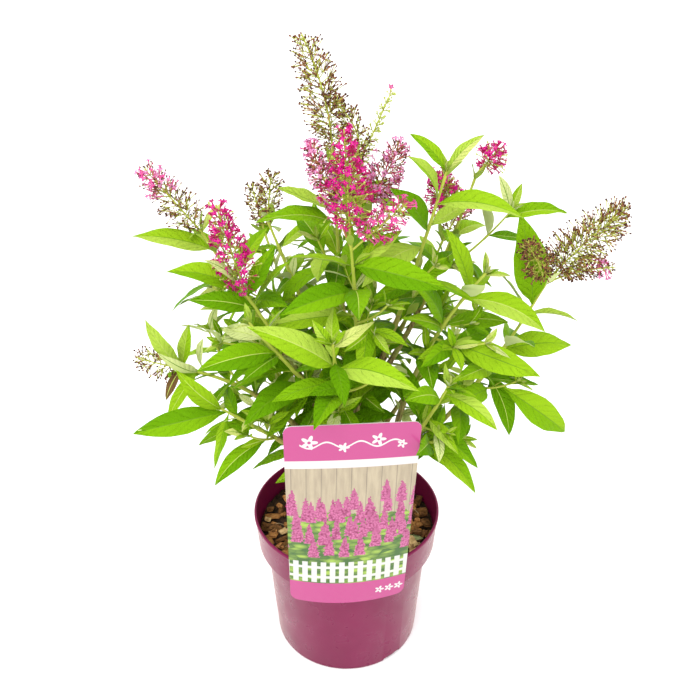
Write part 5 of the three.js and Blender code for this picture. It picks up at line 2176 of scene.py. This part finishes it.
@dataclass(frozen=True)
class NurseryPot:
    """The thin-walled pot: a tapering body, a tall collar and notches round its foot."""

    sizes: PotSizes = POT
    sides: int = 128
    finish: PotPlastic = PotPlastic()

    def profile(self) -> list[tuple[float, float]]:
        """Radius and height of each ring, up the outside and down the inside.

        Returns:
            The rings.
        """
        s = self.sizes
        lip, ledge = s.lip_edge, s.ledge
        return [
            (s.foot_radius - s.foot_chamfer, 0), (s.foot_radius, s.foot_chamfer),
            (s.body_top_radius, ledge - s.collar_slope), (s.rim_radius - s.collar_taper - 0.6, ledge - 0.3),
            (s.rim_radius - s.collar_taper, ledge + 0.4), (s.rim_radius - 0.9, s.height - 4.2),
            (s.rim_radius, s.height - 3.2), (s.rim_radius, s.height - lip),
            (s.rim_radius - lip, s.height), (s.rim_inner + lip / 2, s.height), (s.rim_inner, s.height - lip),
            (s.rim_inner - s.collar_taper, ledge + 1),
            (s.body_top_radius - s.wall, ledge + 1 - s.collar_slope), (s.foot_radius - s.wall, s.floor),
        ]

    def build(self) -> Piece:
        """Model the pot and dress it.

        Returns:
            The piece.
        """
        pot = Workbench.drawn_round("nursery_pot", self.profile(), self.sides)
        Workbench.apply(
            pot, "BEVEL", width=0.5 * MM, segments=2, limit_method="ANGLE", angle_limit=math.radians(28),
        )
        for i in range(self.sizes.notch_count):
            turn = math.radians(self.sizes.notch_first + 360 * i / self.sizes.notch_count)
            Workbench.clear()
            reach = (self.sizes.foot_radius + 1) * MM
            bpy.ops.mesh.primitive_cube_add(
                size=1, location=(reach * math.cos(turn), reach * math.sin(turn), 0), rotation=(0, 0, turn),
                scale=tuple(side * MM for side in self.sizes.notch_size),
            )
            tool = bpy.context.active_object
            Workbench.apply(tool, "BEVEL", width=1.4 * MM, segments=3)
            Workbench.cut(pot, tool)
        for i in range(self.sizes.drain_count):
            turn, ring = 2 * PI * i / self.sizes.drain_count, self.sizes.drain_ring * MM
            Workbench.clear()
            bpy.ops.mesh.primitive_cylinder_add(
                vertices=24, radius=self.sizes.drain_radius * MM, depth=3 * self.sizes.floor * MM,
                location=(ring * math.cos(turn), ring * math.sin(turn), 0),
            )
            Workbench.cut(pot, bpy.context.active_object)
        Workbench.smooth(pot, 34)
        # Painted shade: the inside of the pot is the same plastic, given a darker maroon for the shade that
        # falls inside it.
        inner_wall = SoftFinish("pot_inner_wall_painted_shade", (0.110, 0.003, 0.028), 0.5, 600, specular=0.06)
        pot.data.materials.append(self.finish.make())
        pot.data.materials.append(inner_wall.make())
        # Faces turned inwards above the floor take the painted-shade finish.
        for face in pot.data.polygons:
            middle = face.center / MM
            ring = math.hypot(middle.x, middle.y)
            inner = face.normal.x * middle.x + face.normal.y * middle.y < -0.5 * ring
            face.material_index = int(inner and middle.z > self.sizes.floor + 2)
        return Workbench.rehome(pot, Slot.POT, "pot")


# ---- growing medium


@dataclass(frozen=True)
class MediumFinish:
    """A finish of the growing medium: two tones and a grain."""

    name: str
    dark: Colour
    light: Colour
    grain: float = 260
    depth: float = 0.0008

    def make(self) -> Material:
        """Make the material.

        Returns:
            The material.
        """
        shader = Shader(self.name, self.light, 0.92, Specular_IOR_Level=0.15)
        grain = shader.noise(self.grain, 5)
        shader.colour(shader.mix(shader.ramp(grain, 0.35, 0.65), self.dark, self.light))
        shader.bump(grain, self.depth)
        return shader.material


CHIP_FINISHES = [
    MediumFinish("bark_chip_dark", (0.070, 0.030, 0.008), (0.22, 0.100, 0.034)),
    MediumFinish("bark_chip_brown", (0.18, 0.078, 0.020), (0.46, 0.21, 0.068)),
    MediumFinish("bark_chip_red", (0.24, 0.092, 0.026), (0.58, 0.27, 0.098)),
    MediumFinish("bark_chip_tan", (0.38, 0.24, 0.10), (0.70, 0.48, 0.24)),
    MediumFinish("chip_pale_green", (0.25, 0.30, 0.12), (0.46, 0.52, 0.25)),
    MediumFinish("root_fibre", (0.30, 0.22, 0.12), (0.55, 0.45, 0.28)),
    MediumFinish("fallen_petal", (0.55, 0.008, 0.20), (0.75, 0.03, 0.33)),
]
PALE_CHIP, FIBRE, PETAL = 4, 5, 6
Chip = tuple[np.ndarray, np.ndarray, np.ndarray, int]  # where it lies, its size, its turn and its finish


@dataclass(frozen=True)
class GrowingMedium:
    """Peat with bark chips of several browns lying on it."""

    sizes: MediumSizes = MEDIUM
    bed_rings: int = 24
    bed_sunk: float = 1.2
    crumb: float = 2.6
    highest_crumb: float = 0.9
    chip_shapes: int = 7
    loose_chips: int = 330
    chip_sizes: tuple[Point, Point] = ((6, 4, 1.6), (19, 10, 4))
    trunk_room: float = 12
    spread: float = 84
    fibres: int = 26
    fibre_limit: float = 89
    seed: int = 5

    def base(self) -> Piece:
        """Model the body of the medium, its top worked into crumbs.

        Returns:
            The piece.
        """
        s = self.sizes
        edge = POT.medium_radius(s.surface - s.edge_drop)
        shrink = POT.wall + GAP * 1.2
        profile = [
            (POT.foot_radius - shrink, POT.floor + GAP),
            (POT.body_top_radius - shrink, POT.ledge + 1 - POT.collar_slope),
            (POT.medium_radius(POT.ledge + 1), POT.ledge + 1 + GAP),
        ]
        for k in range(self.bed_rings):
            radius = edge * (1 - k / self.bed_rings)
            fall = max(0.0, (radius - s.crown_radius) / (edge - s.crown_radius))
            drop = s.crown_drop + (s.edge_drop - s.crown_drop) * fall
            profile.append((radius, s.surface - self.bed_sunk - drop))
        piece = Workbench.drawn_round("growing_medium_bed", profile, 120)
        for vertex in piece.data.vertices:
            if vertex.co.z > (s.surface - s.edge_drop - 2) * MM:
                place = Vector(vertex.co) / MM
                lift = noise.noise(place * 0.22) + 0.7 * noise.noise(place * 0.5)
                vertex.co.z += min(self.highest_crumb, self.crumb * lift) * MM
        return piece

    def chip(self, random: Random) -> Template:
        """One broken chip of bark, about one by one by one, to be stretched.

        Args:
            random: Where its draws come from.

        Returns:
            The shape.
        """
        Workbench.clear()
        bpy.ops.mesh.primitive_cube_add(size=1)
        chip = bpy.context.active_object
        Workbench.shape()
        bpy.ops.mesh.subdivide(number_cuts=1)
        Workbench.shaped()
        points = np.array([vertex.co[:] for vertex in chip.data.vertices])
        points = points * (1 - 0.16 * (np.abs(points).sum(axis=1, keepdims=True) - 0.9))
        points = points + random.uniform(-0.11, 0.11, points.shape)
        faces = tuple(tuple(polygon.vertices) for polygon in chip.data.polygons)
        bpy.data.meshes.remove(chip.data)
        return Template(points, faces, (0,) * len(faces))

    def chips(self) -> Piece:
        """Lay the chips: those of the solid first, then smaller ones all over the surface.

        Returns:
            The piece.
        """
        random = np.random.default_rng(self.seed)
        shapes = [self.chip(random) for _ in range(self.chip_shapes)]
        batch = Batch()
        for place, size, turn, shade in [*self.ruled_chips(), *self.scattered_chips(random)]:
            shape = shapes[random.integers(len(shapes))]
            points = (shape.points * size) @ turn.T + place
            batch.add(shape, points[None], np.full(len(shape.faces), shade))
        self.add_fibres(batch, random)
        self.add_litter(batch, shapes[0])
        return batch.piece("bark_chips", [finish.make() for finish in CHIP_FINISHES], smooth=False)

    def ruled_chips(self) -> list[Chip]:
        """The chips that stand proud in the solid, by the same draws.

        Returns:
            The chips.
        """
        s, random, laid = self.sizes, SeededRandom(self.sizes.seed), []
        edge = POT.medium_radius(s.surface - s.edge_drop)
        for i in range(s.chip_count):
            length = lerp(*s.chip_length, random.draw())
            width, height = lerp(*s.chip_width, random.draw()), lerp(*s.chip_height, random.draw())
            tilt = math.radians(lerp(-s.chip_tilt, s.chip_tilt, random.draw()))
            turn = 2 * PI * random.draw()
            outermost = edge - length * 0.62 - s.clear_of_pot
            ring = lerp(s.flat_radius + s.clear_of_trunk, outermost, math.sqrt(random.draw()))
            angle = math.radians(i * s.golden_angle)
            place = np.array([ring * math.cos(angle), ring * math.sin(angle), s.surface - s.chip_sunk])
            matrix = Matrix.Rotation(turn, 3, "Z") @ Matrix.Rotation(tilt, 3, "Y")
            laid.append((place, np.array([length, width, height]), np.array(matrix), (1, 2, 3)[i % 3]))
        return laid

    def scattered_chips(self, random: Random) -> list[Chip]:
        """Smaller chips over the whole surface, tilted every way.

        Args:
            random: Where its draws come from.

        Returns:
            The chips.
        """
        laid = []
        for _ in range(self.loose_chips):
            ring = self.spread * math.sqrt(random.random())
            angle = random.uniform(0, 2 * PI)
            if ring < self.trunk_room:
                continue
            size = np.array([random.uniform(low, high) for low, high in zip(*self.chip_sizes)])
            size *= random.uniform(0.7, 1.15)
            place = np.array([ring * math.cos(angle), ring * math.sin(angle), self.sizes.surface])
            place[2] += random.uniform(-2.2, 1.2) - 0.02 * max(0, ring - 60)
            matrix = Matrix.Rotation(random.uniform(0, 6.28), 3, "Z")
            matrix = matrix @ Matrix.Rotation(random.normal(0, 0.3), 3, "Y")
            matrix = matrix @ Matrix.Rotation(random.normal(0, 0.3), 3, "X")
            shade = int(random.choice(4, p=(0.32, 0.34, 0.22, 0.12)))
            laid.append((place, size, np.array(matrix), shade))
        return laid

    def add_fibres(self, batch: Batch, random: Random) -> None:
        """Lay pale root fibres over the chips.

        Args:
            batch: The batch to lay them in.
            random: Where its draws come from.
        """
        for _ in range(self.fibres):
            ring, angle = self.spread * math.sqrt(random.random()), random.uniform(0, 2 * PI)
            start = np.array([ring * math.cos(angle), ring * math.sin(angle), self.sizes.surface + 1])
            way = random.uniform(0, 2 * PI)
            end = start + np.array([math.cos(way), math.sin(way), 0.02]) * random.uniform(8, 20)
            if max(math.hypot(*start[:2]), math.hypot(*end[:2])) > self.fibre_limit:
                continue
            arc = Arc.sagging(start, end, -random.uniform(1, 3))
            shape, points = tube(arc, (0, 1), lambda share: 0.28, 4, 8)
            batch.add(shape, points, np.full(len(shape.faces), FIBRE))

    def add_litter(self, batch: Batch, shape: Template) -> None:
        """Lay one pale green chip and one fallen petal.

        Args:
            batch: The batch to lay them in.
            shape: The shape of a chip.
        """
        litter = (
            ((66, -28, 136), (20, 9, 3), 0.3, PALE_CHIP), ((-62, 22, 137.5), (9, 5, 0.9), 1.1, PETAL),
        )
        for place, size, turn, shade in litter:
            matrix = np.array(Matrix.Rotation(turn, 3, "Z"))
            points = (shape.points * np.array(size)) @ matrix.T + np.array(place)
            batch.add(shape, points[None], np.full(len(shape.faces), shade))

    def build(self) -> list[Piece]:
        """Model the bed and its chips, and dress them.

        Returns:
            The pieces.
        """
        bed = self.base()
        Workbench.smooth(bed, 60)
        bed.data.materials.append(MediumFinish("peat", (0.010, 0.006, 0.004), (0.060, 0.032, 0.018)).make())
        return [Workbench.rehome(piece, Slot.MEDIUM, "growing_medium") for piece in (bed, self.chips())]


# ---- picture label


@dataclass(frozen=True)
class PrintedCard:
    """The label's gloss print: a plain garden picture between pink bands, with no words on it."""

    pink: Colour = (0.385, 0.041, 0.175)
    beige: Colour = (0.39, 0.325, 0.22)
    board: Colour = (0.305, 0.25, 0.17)
    leaf: Colour = (0.030, 0.095, 0.010)
    young_leaf: Colour = (0.27, 0.40, 0.05)
    flower: Colour = (0.20, 0.012, 0.075)
    pale_flower: Colour = (0.52, 0.13, 0.29)
    white: Colour = (0.56, 0.55, 0.53)
    joint: Colour = (0.10, 0.08, 0.06)
    picture: tuple[float, float] = (25, 158)
    stripe: tuple[float, float] = (158, 166)
    waves: float = 0.22
    wave_level: float = 182
    wave_reach: float = 44
    flowers: tuple[Point, ...] = (
        (-36, 185, 15), (-7, 179, 10), (22, 186, 13), (42, 180, 9), (30, 12, 9), (39, 12, 9), (48, 12, 9),
    )
    rows_of_spikes: tuple[Point, ...] = ((98, 14, 4), (88, 12, 9), (78, 13, 2), (67, 12, 6), (54, 14, 11))

    def make(self) -> Material:
        """Make the material from the card's own places, in millimetres across and up.

        Returns:
            The material.
        """
        shader = Shader(
            "label_print", self.pink, 0.24, Specular_IOR_Level=0.4, Coat_Weight=0.3, Coat_Roughness=0.1,
        )
        across, up = shader.printed()
        flat = shader.node("CombineXYZ", {0: across, 1: up}).outputs[0]
        panel = self.shrubs(shader, across, up, flat, self.boards(shader, across, flat))
        panel = shader.mix(shader.times(self.fence(shader, across, up), 0.92), panel, self.white)
        card = shader.mix(shader.between(up, *self.picture), self.pink, panel)
        card = shader.mix(shader.between(up, *self.stripe), card, self.white)
        wave = shader.times(shader.math("SINE", shader.times(across, self.waves)), 3.0)
        line = shader.math("LESS_THAN", shader.away(shader.minus(up, self.wave_level), wave), 0.8)
        marks = shader.times(line, shader.between(across, -self.wave_reach, self.wave_reach))
        for flower in self.flowers:
            marks = shader.math("MAXIMUM", marks, self.rosette(shader, across, up, flower))
        shader.colour(shader.mix(marks, card, self.white))
        shader.bump(shader.noise(25, 2), 0.0006, 0.3)
        return shader.material

    @staticmethod
    def fence(shader: Shader, across: Socket, up: Socket) -> Socket:
        """One on a fence of posts and two rails, and zero beside it.

        Args:
            shader: The card's node tree.
            across: The place across the card.
            up: The place up the card.

        Returns:
            The share of fence.
        """
        post = shader.math("LESS_THAN", shader.math("FRACT", shader.math("DIVIDE", across, 8.5)), 0.6)
        rail = shader.math("MAXIMUM", shader.between(up, 31, 34), shader.between(up, 43, 46))
        return shader.times(shader.between(up, 26, 51, 0.3), shader.math("MAXIMUM", post, rail))

    def boards(self, shader: Shader, across: Socket, flat: Socket) -> Socket:
        """Weathered boards behind the flowers.

        Args:
            shader: The card's node tree.
            across: The place across the card.
            flat: Both together.

        Returns:
            Their colour.
        """
        joint = shader.math("LESS_THAN", shader.math("FRACT", shader.math("DIVIDE", across, 13.0)), 0.06)
        drawn = shader.node("Mapping", {"Vector": flat, "Scale": (1, 0.15, 1)}).outputs[0]
        wood = shader.mix(shader.ramp(shader.noise(0.25, 6, drawn), 0.35, 0.65), self.board, self.beige)
        return shader.mix(shader.times(joint, 0.5), wood, self.joint)

    def shrubs(self, shader: Shader, across: Socket, up: Socket, flat: Socket, panel: Socket) -> Socket:
        """Rows of leaves, each with pink spikes standing out of it.

        Args:
            shader: The card's node tree.
            across: The place across the card.
            up: The place up the card.
            flat: Both together.
            panel: The colour behind the rows.

        Returns:
            The colour with the rows over it.
        """
        speck = shader.ramp(shader.cells(0.55, flat).outputs["Distance"], 0.15, 0.85)
        drawn = shader.node("Mapping", {"Vector": flat, "Rotation": (0, 0, 0.7), "Scale": (0.6, 1.5, 1)})
        blades = shader.cells(0.16, drawn.outputs[0]).outputs
        tone = shader.times(blades["Color"], shader.ramp(blades["Distance"], 0.9, 0.2))
        green = shader.mix(shader.ramp(tone, 0.05, 0.7), self.leaf, self.young_leaf)
        for row, (level, pitch, shift) in enumerate(self.rows_of_spikes):
            place = shader.math("DIVIDE", shader.plus(across, float(shift)), float(pitch))
            cell = shader.math("FLOOR", place)
            number = shader.plus(cell, 10.0 * row)
            chance = shader.node("TexWhiteNoise", {"W": number}, noise_dimensions="1D").outputs["Value"]
            foot = shader.plus(shader.times(chance, 24.0), float(level))
            edge = shader.plus(shader.times(shader.noise(0.09, 3, flat), 30.0), level - 7.0)
            panel = shader.mix(shader.math("LESS_THAN", up, edge), panel, green)
            share = shader.math("DIVIDE", shader.minus(up, foot), 25.0)
            room = shader.times(shader.minus(1.0, shader.times(share, share)), 0.36)
            room = shader.plus(room, shader.times(shader.minus(speck, 0.5), -0.16))
            inside = shader.math("LESS_THAN", shader.away(shader.minus(place, cell), 0.5), room)
            spike = shader.times(inside, shader.between(share, 0, 0.97, 0.02))
            tint = shader.math("MAXIMUM", speck, shader.times(share, 0.7))
            panel = shader.mix(spike, panel, shader.mix(tint, self.pale_flower, self.flower))
        return panel

    @staticmethod
    def rosette(shader: Shader, across: Socket, up: Socket, flower: Point) -> Socket:
        """One inside a plain five-petalled flower, and zero beyond it.

        Args:
            shader: The card's node tree.
            across: The place across the card.
            up: The place up the card.
            flower: Where its middle is, across and up, and its width.

        Returns:
            The share of white.
        """
        x, y, size = map(float, flower)
        aside, above = shader.minus(across, x), shader.minus(up, y)
        reach = shader.plus(shader.math("POWER", aside, 2.0), shader.math("POWER", above, 2.0))
        reach = shader.math("SQRT", reach)
        lobes = shader.math("COSINE", shader.times(shader.math("ARCTAN2", above, aside), 5.0))
        edge = shader.times(shader.plus(shader.times(lobes, 0.3), 0.7), size / 2)
        ring = shader.math("GREATER_THAN", reach, size * 0.1)
        return shader.times(shader.math("LESS_THAN", reach, edge), ring)


@dataclass(frozen=True)
class PictureLabel:
    """The card that hangs on the rim by a strap, its lower corners wrapped back round the pot."""

    sizes: LabelSizes = LABEL
    across: int = 28
    rows: int = 48
    finish: PrintedCard = PrintedCard()

    def place(self, x_share: float, y_share: float) -> tuple[Point, tuple[float, float]]:
        """A point of the card's face, from its shares of width and height, and its place on the print.

        Args:
            x_share: The share of its width.
            y_share: The share of its height.

        Returns:
            The point, and its place on the print.
        """
        s = self.sizes
        level = y_share * s.height
        to_edge = max(0.0, s.corner_radius - min(level, s.height - level))
        rounding = s.corner_radius - math.sqrt(s.corner_radius**2 - to_edge**2)
        half = lerp(s.bottom_width, s.top_width, y_share) / 2 - rounding
        x = (2 * x_share - 1) * half
        wrap = s.sagitta * (1 - y_share) * (x / (s.bottom_width / 2)) ** 2
        back = wrap + x * math.tan(math.radians(s.turn))
        return (x + lerp(*s.lean, y_share), s.front + back, s.bottom + level), (x, level)

    def card(self) -> Piece:
        """Model the card from a flat grid.

        Returns:
            The piece.
        """
        Workbench.clear()
        bpy.ops.mesh.primitive_grid_add(x_subdivisions=self.across, y_subdivisions=self.rows, size=1)
        card = bpy.context.active_object
        card.name = card.data.name = "picture_card"
        layer = card.data.uv_layers.active
        layer.name = "UVMap"
        rise = self.row_steps()
        places = {}
        for vertex in card.data.vertices:
            row = round((vertex.co.y + 0.5) * self.rows)
            point, printed = self.place(vertex.co.x + 0.5, rise[row])
            places[vertex.index] = printed
            vertex.co = Vector(point) * MM
        for loop in card.data.loops:
            layer.data[loop.index].uv = places[loop.vertex_index]
        if card.data.polygons[0].normal.y > 0:
            card.data.flip_normals()
        Workbench.apply(card, "SOLIDIFY", thickness=self.sizes.thickness * MM, offset=-1)
        return card

    def row_steps(self) -> list[float]:
        """The rows' shares of the height, crowded where the corners are rounded.

        Returns:
            The shares, from 0 to 1.
        """
        corner = self.sizes.corner_radius / self.sizes.height
        ends = [corner * (1 - math.cos(PI / 2 * k / 6)) for k in range(6)]
        inner = self.rows - 2 * len(ends)
        middle = [lerp(corner, 1 - corner, k / inner) for k in range(inner + 1)]
        return [*ends, *middle, *[1 - end for end in reversed(ends)]]

    def strap(self) -> Piece:
        """Model the strap that hooks over the rim.

        Returns:
            The piece.
        """
        s = self.sizes
        under = POT.height + GAP
        inside = s.hook_inset - POT.rim_inner
        outline = [
            (s.front + s.thickness * 0.5, under), (inside, under), (inside, under - s.hook_drop),
            (inside + s.hook_thickness, under - s.hook_drop),
            (inside + s.hook_thickness, under + s.hook_thickness),
            (s.front + s.thickness * 0.5, under + s.hook_thickness),
        ]
        half = s.hook_width / 2
        mesh = bpy.data.meshes.new("label_strap")
        mesh.from_pydata([(-half * MM, y * MM, z * MM) for y, z in outline], [], [tuple(range(6))])
        strap = bpy.data.objects.new("label_strap", mesh)
        bpy.context.scene.collection.objects.link(strap)
        Workbench.pick(strap)
        Workbench.shape()
        bpy.ops.mesh.extrude_region_move(TRANSFORM_OT_translate={"value": (s.hook_width * MM, 0, 0)})
        Workbench.shaped(outwards=True)
        Workbench.apply(strap, "BEVEL", width=0.3 * MM, segments=2, limit_method="ANGLE")
        aside = lerp(*s.lean, (under - s.bottom) / s.height)
        turn = Matrix.Rotation(math.radians(s.turn), 4, "Z")
        front = Matrix.Translation((0, -s.front * MM, 0))
        strap.data.transform(Matrix.Translation((aside * MM, s.front * MM, 0)) @ turn @ front)
        return strap

    def build(self) -> list[Piece]:
        """Model card and strap, and dress them.

        Returns:
            The pieces.
        """
        card, strap = self.card(), self.strap()
        Workbench.smooth(card, 40)
        Workbench.smooth(strap, 40)
        card.data.materials.append(self.finish.make())
        card.data.materials.append(SoftFinish("card_back", (0.58, 0.57, 0.55), 0.5, 300).make())
        for face in card.data.polygons:
            face.material_index = int(face.normal.y > -0.2)
        plain = SoftFinish("strap_card", (0.385, 0.041, 0.175), 0.25, grain=300, specular=0.4)
        strap.data.materials.append(plain.make())
        return [Workbench.rehome(piece, Slot.LABEL, "picture_label") for piece in (card, strap)]


# ---- studio


@dataclass(frozen=True)
class Studio:
    """A pale floor, soft light and the camera."""

    camera_place: Point = (3.6, -620, 669)
    camera_pitch: float = 28.1
    lens: float = 39.09
    world: float = 1.62
    key: float = 26.0

    def build(self) -> None:
        """Set up the floor, the lights and the camera."""
        Workbench.clear()
        bpy.ops.mesh.primitive_plane_add(size=30, location=(0, 0, -0.0002))
        floor = bpy.context.active_object
        floor.name = "studio_floor"
        floor.data.materials.append(Shader("studio_white", (0.93, 0.93, 0.93), 0.9).material)
        floor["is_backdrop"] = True
        scene = bpy.context.scene
        scene.world = bpy.data.worlds.new("studio_air")
        scene.world.use_nodes = True
        air = scene.world.node_tree.nodes["Background"]
        air.inputs[0].default_value = (1, 1, 1, 1)
        air.inputs[1].default_value = self.world
        self.lamp("key_light", (-0.5, -1.3, 2.0), 1.6, self.key)
        camera = bpy.data.cameras.new("camera")
        camera.lens = self.lens
        camera.clip_start = 0.01
        camera.clip_end = 60
        view = bpy.data.objects.new("camera", camera)
        view.location = Vector(self.camera_place) * MM
        view.rotation_euler = (math.radians(90 - self.camera_pitch), 0, 0)
        scene.collection.objects.link(view)
        scene.camera = view
        scene.view_settings.view_transform = "Standard"

    @staticmethod
    def lamp(name: str, place: Point, size: float, power: float) -> None:
        """Hang a square soft light that faces the plant.

        Args:
            name: The lamp's name.
            place: Where it hangs.
            size: The length of its sides.
            power: Its power, in watts.
        """
        light = bpy.data.lights.new(name, "AREA")
        light.size = size
        light.energy = power
        lamp = bpy.data.objects.new(name, light)
        lamp.location = place
        lamp.rotation_euler = (Vector((0, 0, 0.3)) - Vector(place)).to_track_quat("-Z", "Y").to_euler()
        bpy.context.scene.collection.objects.link(lamp)


# ---- the whole plant


@dataclass(frozen=True)
class ButterflyBush:
    """The plant: trunk, boughs, stems, leaves and blossom."""

    box: np.ndarray
    seed: int = 11

    def build(self) -> list[Piece]:
        """Grow the plant and join its parts into pieces.

        Returns:
            The pieces.
        """
        growth = Growth()
        random = np.random.default_rng(self.seed)
        wood, made = Wood(), []
        bark = BarkFinish("trunk_bark", (0.050, 0.033, 0.020), (0.22, 0.14, 0.075), (0.30, 0.24, 0.12))
        young = BarkFinish("bough_bark", (0.13, 0.085, 0.035), (0.36, 0.28, 0.11), (0.36, 0.38, 0.09), 0.85)
        Workbench.clear()
        names = [limb.name for limb in LIMBS]
        made.append(Workbench.rehome(wood.trunk(growth, bark.make()), Slot.BARK, "trunk"))
        boughs = wood.boughs(growth, young.make())
        made.append(Workbench.rehome(boughs, Slot.BOUGH, *[f"bough_{name}" for name in names]))
        leaf_materials = [finish.make() for finish in LEAF_FINISHES]
        twigs: list[Arc] = []
        parts = (
            Foliage("upper", names[:4], self.box, random), Foliage("middle", names[4:14], self.box, random),
            Foliage("rear", names[14:], self.box, random, (0.35, 0.85)),
        )
        for part in parts:
            part.grow(growth)
            twigs += part.twigs
            made += [self.as_foliage(piece, part.masses) for piece in part.pieces(leaf_materials)]
        stem_finishes = [
            SoftFinish("stem_yellow_green", (0.40, 0.46, 0.06), 0.5, 400, 0.0002, 0.15),
            SoftFinish("stem_olive_brown", (0.34, 0.31, 0.07), 0.6, 500, 0.0004, 0.2),
        ]
        stems = GreenStems().make(growth, twigs, [finish.make() for finish in stem_finishes])
        made.append(self.as_foliage(stems, names))
        blooms = Blooms(self.box, random)
        for panicle, arc in growth.panicles:
            blooms.grow(panicle, arc)
        flowers = blooms.flowers([finish.make() for finish in FLOWER_FINISHES])
        stalks = blooms.branches([finish.make() for finish in STALK_FINISHES])
        flowering = [limb.name for limb in LIMBS if limb.panicles]
        made += [self.as_foliage(piece, flowering) for piece in (*flowers, stalks)]
        return made

    @staticmethod
    def as_foliage(piece: Piece, masses: Sequence[str]) -> Piece:
        """Let a piece ride on the body and stand for its masses of foliage."""
        return Workbench.rehome(piece, Slot.FOLIAGE, *[f"foliage_{mass}" for mass in masses])


def box_of(bounds: object) -> list[list[float]]:
    """A box as plain lists of numbers."""
    return [[float(value) for value in corner] for corner in bounds]


def main() -> None:
    """Build each part in order and report its pieces."""
    logging.basicConfig(level=logging.INFO, format="%(name)s: %(message)s")
    packed = box_of(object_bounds())
    pieces = [NurseryPot().build(), *GrowingMedium().build(), *PictureLabel().build()]
    pieces += ButterflyBush(np.array(packed) / MM).build()
    for piece in pieces:
        piece.data.calc_loop_triangles()
        log.info("%s: %d triangles", piece.name, len(piece.data.loop_triangles))
    Studio().build()
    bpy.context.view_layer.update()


if __name__ == "__main__":
    main()
